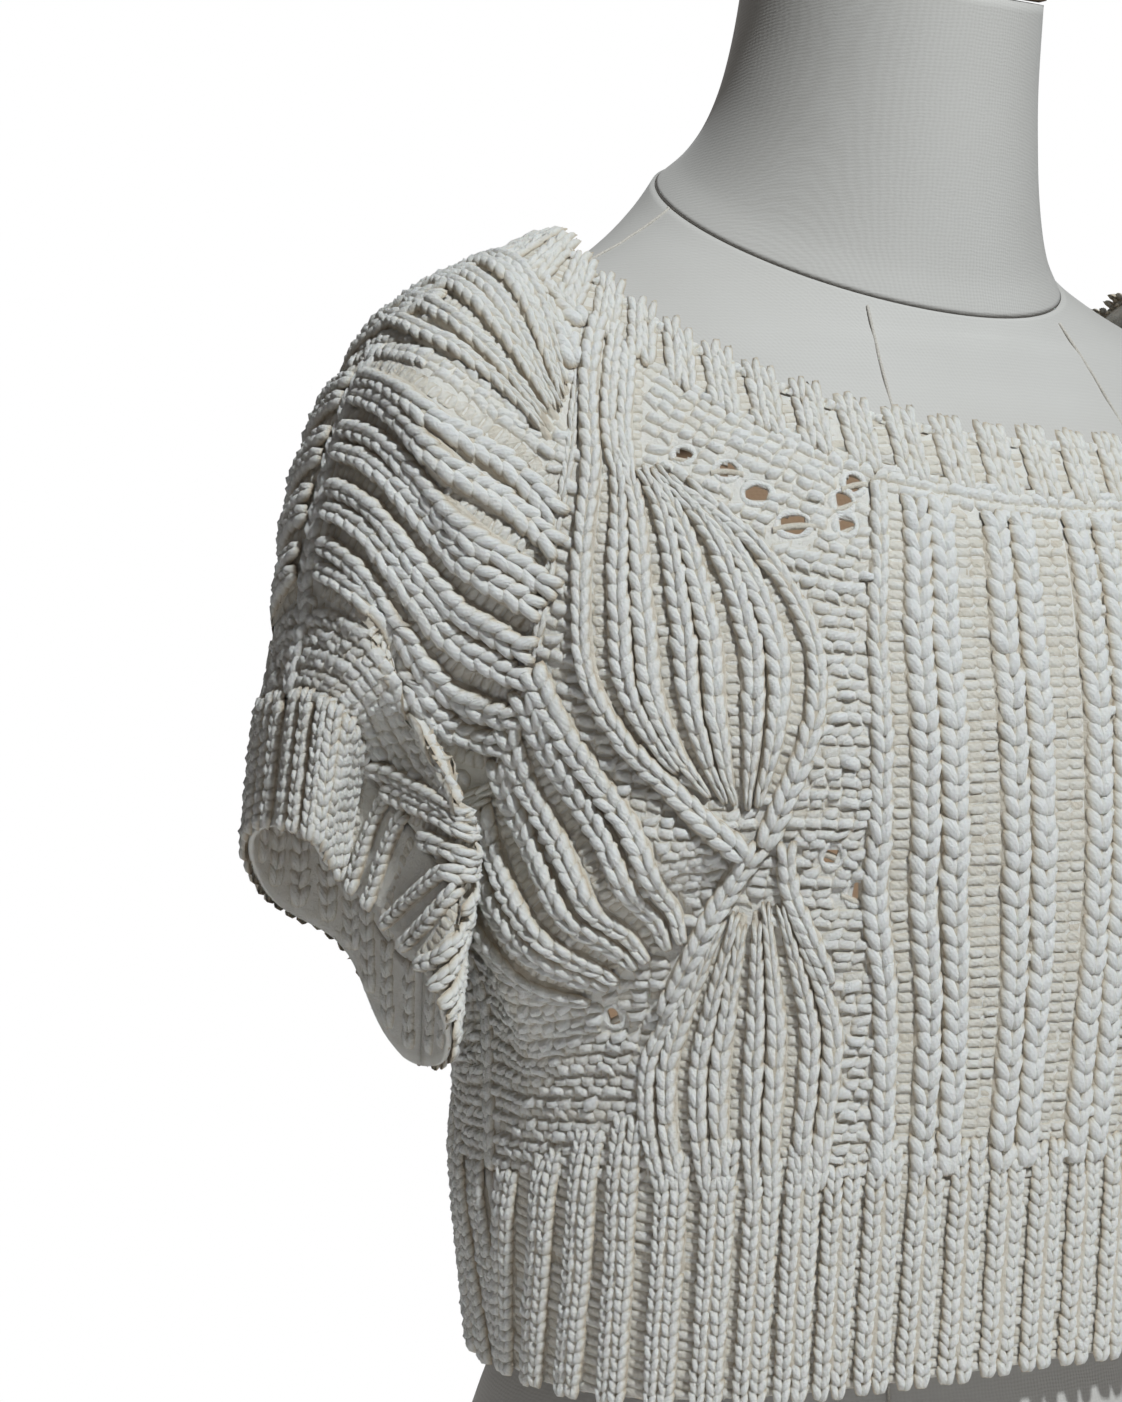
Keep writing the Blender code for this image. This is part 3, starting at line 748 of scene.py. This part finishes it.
def body_panel(name, cloth, eyelets):
    """The knit of the front or back: both halves, mirrored about the centre line."""
    reliefs, taken = (Relief(), Relief()), []
    for half in (lambda guide: guide, mirrored):
        def lay(left, right, pattern, **more):
            pair = (half(left), half(right))
            if half is mirrored:
                pair = pair[::-1]
                pattern = pattern[::-1]
                if more.get("taper"):
                    more["taper"] = more["taper"][::-1]
            band(reliefs, taken, name, *pair, pattern, **more)

        lay(*beside(LEAF_LEFT, 0.0095), "K", raised=0.0026)
        lay([(a + 0.012, r) for a, r in LEAF_INNER], [(a - 0.009, r) for a, r in LEAF_RIGHT],
            "PKKPKKPKKP", raised=0.0020, thin=0.0013,
            taper=[(0, .95), (.18, .97), (.12, .98), (0, .98), (.03, .99),
                   (0, .99), (0, 1), (.04, 1), (.12, 1), (0, 1)])
        lay(*beside(LEAF_RIGHT, 0.009), "K", raised=0.0018)
        lay(STEM_LEFT, STEM_RIGHT, "KKPKKPKKPKK", raised=0.0017, thin=0.0012)
        lay(*beside(STEM_LEFT[4:], 0.008), "K", raised=0.0022)
        lay(*beside(STEM_RIGHT[4:], 0.007), "K", raised=0.0018)
        lay(POUCH_LOW, POUCH_HIGH, "KPKKPKKPKK", raised=0.0018, thin=0.0013)
        lay(RAGLAN_LEFT, RAGLAN_RIGHT, "KKP", raised=0.0014)
        lay(*beside(FRONT_STEM, 0.009), "K", raised=0.0012)
        lay(*beside([(0.0, row) for row in (1.02, 1.8, 2.6, 3.3)], 0.007), "K")
    stem = [(a + 0.010, r) for a, r in FRONT_STEM]
    band(reliefs, taken, name, stem, mirrored(stem), "PKKPPKKPPKKPPKKPPKKP", raised=0.0014)
    holes = spots(name, eyelets) + spots(name, [(1 - a, r, w, t) for a, r, w, t in eyelets])
    ground(reliefs[1], name, (1.04, 9.96), taken, [(h, s + 0.0022) for h, s in holes])
    for across, row, wide, tall in eyelets:
        for place in (across, 1 - across):
            ring_of_yarn(reliefs[1], name, place, row, wide + 0.0006, tall + 0.0006)
    sheet = shell("cloth_" + name, name, (1.007, 9.995), cloth, 120, holes)
    stitches(sheet, name, reliefs, cloth)


def stitches(sheet, name, reliefs, cloth):
    """Builds the relief meshes of a piece and rides everything on the body."""
    made = [sheet]
    for kind, relief in zip(("ribs", "purl"), reliefs):
        made.append(relief.build(kind + "_" + name, cloth))
    for part in made:
        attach(part, "root")
        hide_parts(name)
    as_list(made[1:])


def sleeve_panel(side_name, cloth):
    name = "sleeve_" + side_name
    turned = side_name == "right"
    reliefs, taken = (Relief(), Relief()), []

    def chart(points, back):
        """A front-half guide, put on the back half and on the right sleeve's own numbering."""
        flip = back != turned
        return [(1 - a, r) if flip else (a, r) for a, r in points]

    for back in (False, True):
        def lay(left, right, pattern, **more):
            pair = (chart(left, back), chart(right, back))
            band(reliefs, taken, name, *pair, pattern, **more)

        lay(RIBS_LOW, RIBS_HIGH, "PKKPKKPKKPKKP", raised=0.0020, thin=0.0013)
        lay(CAP_LOW, CAP_HIGH, "KKPKKPKK", raised=0.0022, thin=0.0013)
        lay(COLLAR_LOW, COLLAR_HIGH, "KPK", raised=0.0006)
        lay(POUCH_S_LOW, POUCH_S_HIGH, "KKPKKPKKPKK", raised=0.0018, thin=0.0013)
        lay(*beside([(0.0, row) for row in (2.6, 4.0, 5.4, 6.6, 7.6, 8.9)], 0.009), "K")
    centre = [(0.497, 1.05), (0.497, 2.5), (0.500, 4.0), (0.500, 5.2), (0.500, 6.1)]
    band(reliefs, taken, name, *beside(centre, 0.016), "K", raised=-0.0004)
    eyelets = [(a if turned else 1 - a, r, w, t) for a, r, w, t in SLEEVE_EYELETS]
    holes = spots(name, eyelets)
    ground(reliefs[1], name, (1.03, 8.97), taken, [(h, s + 0.0004) for h, s in holes])
    for across, row, wide, tall in eyelets:
        ring_of_yarn(reliefs[1], name, across, row, wide + 0.0006, tall + 0.0006)
    inside_ribs(reliefs, name, (1.05, 3.0), 24)
    sheet = shell("cloth_" + name, name, (1.012, 8.99), cloth, 90, holes)
    stitches(sheet, name, reliefs, cloth)


def inside_ribs(reliefs, panel, rows, count):
    """The ribs seen from within a cuff or sleeve end."""
    low, high = rows
    for number in range(count):
        across = (number + 0.5) / count
        path = np.stack([np.full(30, across), np.linspace(low, high, 30)], -1)
        knit(reliefs[0], Strip(panel, path, 0.0036, inside=True), crest=0.0010, pitch=0.0052,
             start=0.002)


def cuff(side_name, cloth):
    name = "cuff_" + side_name
    panel = "sleeve_" + side_name
    reliefs = (Relief(), Relief())
    count = 22
    for number in range(count):
        across = (number + 0.5) / count
        parts = (0, -0.0098, 0.0027), (2, 0.0098, 0.0027), (1, 0.5 / count, 0.0018)
        for part, shift, half in parts:
            rows = np.linspace(0.02, 1.04, 24)
            near = min(across, 1 - across)
            lean = 0.12 * max(0.0, 1 - abs(near - 0.17) / 0.17) * (1 if across > 0.5 else -1)
            line = np.clip(across + shift + lean * (rows - 0.3), 0.004, 0.996)
            path = np.stack([line, rows], -1)
            strip = Strip(panel, path, half)
            if part == 1:
                purl(reliefs[1], strip, crest=-0.0006)
            else:
                knit(reliefs[0], strip, raised=0.0012, pitch=0.0037, start=-0.001, outer=part - 1)
                bolster(reliefs[1], strip, 0.0010)
    inside_ribs(reliefs, panel, (0.08, 0.97), count)
    sheet = shell("cloth_" + name, panel, (0.0, 0.985), cloth, 90)
    stitches(sheet, name, reliefs, cloth)


def hem(name, cloth):
    panel = name.replace("hem_", "")
    reliefs = (Relief(), Relief())
    feet = HEM_FOOT + [1 - a for a in HEM_FOOT[-2::-1]]
    heads = HEM_HEAD + [1 - a for a in HEM_HEAD[-2::-1]]
    tips = HEM_TIPS + HEM_TIPS[-2::-1]
    for number, (foot, head, tip) in enumerate(zip(feet, heads, tips)):
        path = curve([(foot, 0.0), ((foot + head) / 2, 0.33), (head, 0.66),
                      (head + (head - foot) * 0.5, tip)], 40)
        for side in (-1, 1):
            shifted = path + np.array([side * 0.0066, 0.0])
            knit(reliefs[0], Strip(panel, shifted, 0.0028), raised=0.0021, pitch=0.0036,
                 start=-0.0014, outer=side, fade=0.014)
        bolster(reliefs[1], Strip(panel, path, 0.0055), 0.0021, fade=0.014)
        if number + 1 < len(feet):
            foot, head = (foot + feet[number + 1]) / 2, (head + heads[number + 1]) / 2
            path = curve([(foot, 0.0), (head, 0.66), (head + (head - foot) * 0.4, 1.03)], 40)
            purl(reliefs[1], Strip(panel, path, 0.0046), crest=-0.0003)
    sheet = shell("cloth_" + name, panel, (0.0, 0.993), cloth, 120)
    stitches(sheet, name, reliefs, cloth)


def neckband_knit(cloth):
    name = "neckband"
    reliefs = (Relief(), Relief())
    count = 56
    for number in range(count):
        across = (number + 0.5) / count
        for shift in (-0.0030, 0.0030):
            path = np.stack([np.full(20, across + shift), np.linspace(-0.22, 1.02, 20)], -1)
            strip = Strip(name, path, 0.0028)
            knit(reliefs[0], strip, raised=0.0009, pitch=0.0056, crest=0.0013, outer=np.sign(shift))
            bolster(reliefs[1], strip, 0.0008)
        path = np.stack([np.full(16, across + 0.5 / count), np.linspace(0.0, 0.97, 16)], -1)
        purl(reliefs[1], Strip(name, path, 0.0027), crest=-0.0006)
    rim = np.stack([np.linspace(0, 1, 400), np.full(400, 0.97)], -1)
    purl(reliefs[1], Strip(name, rim, 0.0015), crest=0.0006)
    sheet = shell("cloth_" + name, name, (0.0, 1.0), cloth, 190, pitch=0.003)
    stitches(sheet, name, reliefs, cloth)


# Materials --------------------------------------------------------------------------------


class Nodes:
    """A small helper for building a material's node tree."""

    def __init__(self, name):
        self.material = bpy.data.materials.new(name)
        self.material.use_nodes = True
        self.tree = self.material.node_tree
        self.shader = self.tree.nodes["Principled BSDF"]

    def add(self, kind, settings=None, **inputs):
        node = self.tree.nodes.new(kind)
        for name, value in (settings or {}).items():
            setattr(node, name, value)
        for name, value in inputs.items():
            self.plug(node, name, value)
        return node

    def plug(self, node, name, value):
        key = int(name[1:]) if name[0] == "i" and name[1:].isdigit() else name.replace("_", " ")
        socket = node.inputs[key]
        if isinstance(value, bpy.types.NodeSocket):
            self.tree.links.new(value, socket)
        else:
            socket.default_value = value

    def maths(self, operation, first, second=0.0):
        return self.add("ShaderNodeMath", {"operation": operation}, i0=first, i1=second).outputs[0]

    def mixed(self, first, share, second, weight):
        """first * share + second * weight"""
        return self.maths("ADD", self.maths("MULTIPLY", first, share),
                          self.maths("MULTIPLY", second, weight))

    def finish(self, colour, roughness, bump, **values):
        """Plugs the shader, gives its other sockets their values and returns the material."""
        links = {"Base Color": colour, "Roughness": roughness, "Normal": bump.outputs["Normal"]}
        for name, value in {**links, **values}.items():
            self.plug(self.shader, name, value)
        return self.material

    def ramp(self, factor, *stops):
        node = self.add("ShaderNodeValToRGB", Fac=factor)
        marks = node.color_ramp.elements
        while len(marks) < len(stops):
            marks.new(0.5)
        for mark, (place, colour) in zip(marks, stops):
            mark.position = place
            mark.color = (*colour, 1)
        return node.outputs["Color"]


def knit_material():
    """Cream cotton: twisted plies along each stitch, slubs, fuzz, and painted shade that makes the hollows
    darker and warmer.
    """
    n = Nodes("cream_cotton")
    yarn = n.add("ShaderNodeAttribute", {"attribute_name": "yarn"}).outputs["Vector"]
    rise = n.add("ShaderNodeAttribute", {"attribute_name": "rise"}).outputs["Fac"]
    place = n.add("ShaderNodeTexCoord").outputs["Object"]
    axes = n.add("ShaderNodeSeparateXYZ", Vector=yarn)
    slant = n.mixed(axes.outputs["X"], 2600.0, axes.outputs["Y"], 3600.0)
    wobble = n.add("ShaderNodeTexNoise", Vector=place, Scale=420.0, Detail=3.0)
    slant = n.maths("ADD", slant, n.maths("MULTIPLY", wobble.outputs["Fac"], 7.0))
    plies = n.maths("MULTIPLY", n.maths("ADD", n.maths("SINE", slant), 1.0), 0.5)
    fibre = n.add("ShaderNodeTexNoise", Vector=place, Scale=1250.0, Detail=5.0, Roughness=0.75)
    slub = n.add("ShaderNodeTexNoise", Vector=place, Scale=260.0, Detail=2.0)
    height = n.mixed(plies, 0.14, fibre.outputs["Fac"], 1.25)
    height = n.maths("ADD", height, n.maths("MULTIPLY", slub.outputs["Fac"], 0.9))
    bump = n.add("ShaderNodeBump", Height=height, Strength=0.9, Distance=0.0007)
    # Painted shade: the lower a point lies (its rise attribute), the darker and warmer the colour the ramp
    # gives it. The slub noise adds real uneven tone.
    painted_hollow_shade = n.add("ShaderNodeMapRange", Value=rise, From_Min=-0.0014, From_Max=0.0012)
    uneven = n.maths("MULTIPLY", n.maths("SUBTRACT", slub.outputs["Fac"], 0.5), 0.35)
    shade = n.maths("ADD", painted_hollow_shade.outputs["Result"], uneven)
    colour = n.ramp(shade, (0.0, (0.58, 0.48, 0.36)), (0.30, (0.76, 0.71, 0.62)),
                    (0.60, (0.85, 0.83, 0.785)), (1.0, (0.88, 0.876, 0.858)))
    tone = n.add("ShaderNodeMix", {"data_type": "RGBA", "blend_type": "MULTIPLY"},
                 i0=n.maths("MULTIPLY", plies, 0.12), i6=colour, i7=(0.82, 0.76, 0.66, 1))
    rough = n.maths("ADD", 0.84, n.maths("MULTIPLY", fibre.outputs["Fac"], 0.14))
    return n.finish(
        tone.outputs[2], rough, bump, Sheen_Weight=0.35, Sheen_Roughness=0.45,
        Sheen_Tint=(0.95, 0.92, 0.86, 1), Specular_IOR_Level=0.12, Subsurface_Weight=0.06,
        Subsurface_Radius=(0.002, 0.0014, 0.0009))


def linen_material():
    """The form's cover: a fine plain canvas, slightly slubbed and greyed."""
    n = Nodes("form_canvas")
    place = n.add("ShaderNodeTexCoord").outputs["Object"]
    axes = n.add("ShaderNodeSeparateXYZ", Vector=place)
    wobble = n.add("ShaderNodeTexNoise", Vector=place, Scale=160.0, Detail=4.0)
    shake = n.maths("MULTIPLY", wobble.outputs["Fac"], 9.0)
    level = n.maths("ADD", axes.outputs["X"], n.maths("MULTIPLY", axes.outputs["Y"], 0.55))
    warp = n.maths("SINE", n.maths("ADD", n.maths("MULTIPLY", level, 5200.0), shake))
    weft = n.maths("SINE", n.maths("ADD", n.maths("MULTIPLY", axes.outputs["Z"], 5600.0), shake))
    weave = n.maths("MULTIPLY", n.maths("ADD", n.maths("ADD", warp, weft), 2.0), 0.25)
    fibre = n.add("ShaderNodeTexNoise", Vector=place, Scale=1500.0, Detail=3.0)
    height = n.mixed(weave, 0.7, fibre.outputs["Fac"], 0.6)
    bump = n.add("ShaderNodeBump", Height=height, Strength=0.22, Distance=0.0003)
    cloud = n.add("ShaderNodeTexNoise", Vector=place, Scale=9.0, Detail=3.0)
    shade = n.mixed(weave, 0.16, cloud.outputs["Fac"], 0.7)
    colour = n.ramp(shade, (0.15, (0.46, 0.435, 0.405)), (0.85, (0.60, 0.585, 0.56)))
    rough = n.maths("ADD", 0.78, n.maths("MULTIPLY", fibre.outputs["Fac"], 0.18))
    # A weak glow where the sweater covers the canvas stands in for light through the knit
    above = n.maths("MULTIPLY", n.maths("SUBTRACT", axes.outputs["Z"], 0.275), 60.0)
    below = n.maths("MULTIPLY", n.maths("SUBTRACT", 0.508, axes.outputs["Z"]), 300.0)
    covered = n.maths("MINIMUM", n.maths("MINIMUM", above, below), 1.0)
    glow = n.maths("MULTIPLY", n.maths("MAXIMUM", covered, 0.0), 0.19)
    return n.finish(colour, rough, bump, Sheen_Weight=0.12, Specular_IOR_Level=0.2,
                    Emission_Strength=glow, Emission_Color=(1.0, 0.70, 0.47, 1))


def wood_material():
    n = Nodes("form_wood")
    place = n.add("ShaderNodeTexCoord").outputs["Object"]
    stretched = n.add("ShaderNodeMapping", Vector=place)
    stretched.inputs["Scale"].default_value = (9.0, 60.0, 60.0)
    grain = n.add("ShaderNodeTexNoise", Vector=stretched.outputs["Vector"], Scale=3.0, Detail=6.0,
                  Roughness=0.65)
    colour = n.ramp(grain.outputs["Fac"], (0.30, (0.13, 0.085, 0.055)), (0.70, (0.30, 0.21, 0.14)))
    rough = n.maths("ADD", 0.38, n.maths("MULTIPLY", grain.outputs["Fac"], 0.25))
    bump = n.add("ShaderNodeBump", Height=grain.outputs["Fac"], Strength=0.15, Distance=0.0004)
    return n.finish(colour, rough, bump)


def thread_material():
    n = Nodes("seam_thread")
    place = n.add("ShaderNodeTexCoord").outputs["Object"]
    fibre = n.add("ShaderNodeTexNoise", Vector=place, Scale=1800.0, Detail=3.0)
    colour = n.ramp(fibre.outputs["Fac"], (0.3, (0.40, 0.365, 0.32)), (0.7, (0.60, 0.565, 0.51)))
    bump = n.add("ShaderNodeBump", Height=fibre.outputs["Fac"], Strength=0.4, Distance=0.0002)
    return n.finish(colour, 0.9, bump)


# The form -----------------------------------------------------------------------------------

# The form: superellipse rings about (0, centre). half is the half width, front and back the
# depths from the centre. A ring leans: it is tilt * depth higher towards the back.
TORSO = {
    "z": [0.0303, 0.060, 0.100, 0.150, 0.200, 0.250, 0.300, 0.350, 0.390, 0.420, 0.460, 0.500, 0.525,
          0.542, 0.555, 0.5665, 0.5765, 0.5855, 0.5905],
    "half": [0.150, 0.156, 0.158, 0.150, 0.135, 0.120, 0.123, 0.131, 0.138, 0.141, 0.147, 0.157, 0.163,
             0.162, 0.145, 0.116, 0.093, 0.077, 0.0705],
    "front": [0.098, 0.104, 0.108, 0.104, 0.097, 0.092, 0.096, 0.104, 0.113, 0.117, 0.111, 0.097, 0.085,
              0.0765, 0.0725, 0.070, 0.0685, 0.0670, 0.066],
    "back": [0.108, 0.114, 0.114, 0.106, 0.096, 0.085, 0.086, 0.092, 0.097, 0.100, 0.101, 0.096, 0.089,
             0.082, 0.075, 0.070, 0.067, 0.0650, 0.064],
    "centre": [0, 0],
    "tilt": [0, 0, 0, 0, 0, 0, 0, 0, 0, 0, 0.00, 0.02, 0.05, 0.10, 0.17, 0.27, 0.39, 0.49, 0.54],
    "power": [2.4, 2.4, 2.4, 2.3, 2.3, 2.3, 2.3, 2.3, 2.3, 2.3, 2.2, 2.1, 1.95, 1.75, 1.65, 1.65, 1.8,
              1.95, 2.0],
}
NECK = {
    "z": [0.5909, 0.600, 0.612, 0.628, 0.650, 0.672],
    "half": [0.0690, 0.0605, 0.0545, 0.0500, 0.0470, 0.0460],
    "front": [0.0650, 0.0600, 0.0570, 0.0550, 0.0535, 0.0525],
    "back": [0.0635, 0.0600, 0.0570, 0.0550, 0.0535, 0.0525],
    "centre": [0.000, -0.004, -0.008, -0.012, -0.016, -0.020],
    "tilt": [0.54, 0.52, 0.48, 0.44, 0.39, 0.34],
    "power": [2.0, 2.0],
}


def ring(table, row, angles):
    """One superellipse ring of the form."""
    def at(name):
        return smooth(table[name], row)

    cos, sin = np.cos(angles), np.sin(angles)
    power = 2 / at("power")
    x = at("half") * np.sign(cos) * np.abs(cos) ** power
    depth = np.where(sin < 0, at("front"), at("back"))
    y = depth * np.sign(sin) * np.abs(sin) ** power
    return np.stack([x, y + at("centre"), at("z") + at("tilt") * y], axis=-1)


def form_piece(node, table, steps, finish):
    """The form's torso or neck as one smooth skin, from the same rings as the CAD's."""
    sides = 144
    angles = np.linspace(0, 2 * math.pi, sides, endpoint=False)
    rows = np.linspace(0, len(table["z"]) - 1, steps)
    rings = [ring(table, row, angles) for row in rows]
    mesh = bmesh.new()
    verts = [[mesh.verts.new(p) for p in line] for line in rings]
    for low, high in zip(verts, verts[1:]):
        for i in range(sides):
            j = (i + 1) % sides
            mesh.faces.new((low[i], low[j], high[j], high[i]))
    mesh.faces.new(verts[0][::-1])
    mesh.faces.new(verts[-1])
    data = bpy.data.meshes.new("cover_" + node)
    mesh.to_mesh(data)
    mesh.free()
    made = place_mesh("cover_" + node, data, finish)
    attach(made, "root")
    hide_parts(node)


# The form's seams -------------------------------------------------------------------------


def surface_tree(node):
    """A search tree over a CAD node's mesh, read only."""
    obj = bpy.data.objects[node]
    mesh = bmesh.new()
    mesh.from_mesh(obj.data)
    mesh.transform(obj.matrix_world)
    tree = BVHTree.FromBMesh(mesh)
    mesh.free()
    return tree


def seam(name, node, points, thread, radius=0.0005):
    """A thin sewn seam lying on a node, through points dropped on to its surface."""
    tree = surface_tree(node)
    made = bpy.data.curves.new(name, "CURVE")
    made.dimensions = "3D"
    made.bevel_depth = radius
    made.bevel_resolution = 2
    spline = made.splines.new("POLY")
    spline.points.add(len(points) - 1)
    for knot, point in zip(spline.points, points):
        near, normal, _, _ = tree.find_nearest(Vector(point))
        knot.co = (*(near + normal * radius * 0.5), 1)
    made.materials.append(thread)
    line = bpy.data.objects.new(name, made)
    bpy.context.scene.collection.objects.link(line)
    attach(line, "root")


# Light, floor and camera ------------------------------------------------------------------


def area_light(name, place, target, size, power, colour):
    light = bpy.data.lights.new(name, "AREA")
    light.shape = "DISK"
    light.size = size
    light.energy = power
    light.color = colour
    made = bpy.data.objects.new(name, light)
    made.location = place
    made.rotation_euler = (Vector(target) - Vector(place)).to_track_quat("-Z", "Y").to_euler()
    bpy.context.scene.collection.objects.link(made)


def studio():
    bpy.context.scene.view_settings.view_transform = "Standard"
    world = bpy.data.worlds.new("studio")
    world.use_nodes = True
    tree = world.node_tree
    back = tree.nodes["Background"]
    back.inputs["Color"].default_value = (1.0, 0.97, 0.94, 1)
    back.inputs["Strength"].default_value = 0.085
    seen = tree.nodes.new("ShaderNodeBackground")
    seen.inputs["Color"].default_value = (1, 1, 1, 1)
    seen.inputs["Strength"].default_value = 1.0
    path = tree.nodes.new("ShaderNodeLightPath")
    mix = tree.nodes.new("ShaderNodeMixShader")
    tree.links.new(path.outputs["Is Camera Ray"], mix.inputs[0])
    tree.links.new(back.outputs[0], mix.inputs[1])
    tree.links.new(seen.outputs[0], mix.inputs[2])
    tree.links.new(mix.outputs[0], tree.nodes["World Output"].inputs["Surface"])
    bpy.context.scene.world = world
    yaw = math.radians(30)
    right = np.array([math.cos(yaw), -math.sin(yaw), 0])
    into = np.array([math.sin(yaw), math.cos(yaw), 0])
    up = np.array([0, 0, 1.0])
    middle = np.array([0, 0, 0.42])
    key = middle + right * 0.72 - into * 1.50 + up * 1.60
    area_light("key", key, middle, 0.16, 51, (0.90, 0.965, 1.0))
    fill = middle - right * 1.3 - into * 1.7 + up * 0.7
    area_light("fill", fill, middle, 1.6, 0.9, (1.0, 0.97, 0.94))
    behind = middle + into * 1.9 - right * 0.5 + up * 0.9
    area_light("behind", behind, middle, 1.4, 9, (1.0, 0.985, 0.97))
    camera = bpy.data.cameras.new("camera")
    camera.lens = 69
    camera.sensor_width = 36
    made = bpy.data.objects.new("camera", camera)
    made.location = np.array([0, 0, 0.435]) - right * 0.099 - into * 0.9
    made.rotation_euler = (math.radians(90), 0, math.radians(-30))
    bpy.context.scene.collection.objects.link(made)
    bpy.context.scene.camera = made


def floor():
    """A plain pale disc for the form to stand on, with a little light of its own."""
    n = Nodes("floor_pale")
    place = n.add("ShaderNodeTexCoord").outputs["Object"]
    cloud = n.add("ShaderNodeTexNoise", Vector=place, Scale=2.0)
    colour = n.ramp(cloud.outputs["Fac"], (0.3, (0.86, 0.86, 0.86)), (0.7, (0.88, 0.88, 0.88)))
    n.tree.links.new(colour, n.shader.inputs["Base Color"])
    n.shader.inputs["Roughness"].default_value = 0.9
    n.shader.inputs["Emission Color"].default_value = (1, 1, 1, 1)
    n.shader.inputs["Emission Strength"].default_value = 0.30
    mesh = bmesh.new()
    bmesh.ops.create_circle(mesh, cap_ends=True, segments=96, radius=0.72)
    data = bpy.data.meshes.new("floor")
    mesh.to_mesh(data)
    mesh.free()
    data.materials.append(n.material)
    made = bpy.data.objects.new("floor", data)
    bpy.context.scene.collection.objects.link(made)


# Everything together ----------------------------------------------------------------------

cloth = knit_material()
linen = linen_material()
wood = wood_material()
thread = thread_material()
for panel in ("front", "back"):
    body_panel(panel, cloth, EYELETS)
for side in ("right", "left"):
    sleeve_panel(side, cloth)
    cuff(side, cloth)
for part in ("hem_front", "hem_back"):
    hem(part, cloth)
neckband_knit(cloth)

form_piece("form_torso", TORSO, 90, linen)
form_piece("form_neck", NECK, 40, linen)
for node in ("form_cap", "form_base"):
    for slot in bpy.data.objects[node].material_slots:
        slot.material = wood

for side, word in ((-1, "right"), (1, "left")):
    lines = {"shoulder": [], "princess": [], "back": []}
    for t in np.linspace(0, 1, 24):
        bow = math.sin(t * 2.6)
        lines["shoulder"].append((side * (0.070 + 0.092 * t), 0.004, 0.602 - 0.075 * t**1.6))
        lines["princess"].append(
            (side * (0.040 + 0.022 * bow), -0.062 - 0.055 * min(1, 3 * t), 0.560 - 0.50 * t))
        lines["back"].append(
            (side * (0.045 + 0.015 * bow), 0.075 + 0.03 * min(1, 3 * t), 0.575 - 0.52 * t))
    for line, points in lines.items():
        seam("seam_%s_%s" % (line, word), "form_torso", points, thread)
studio()
floor()
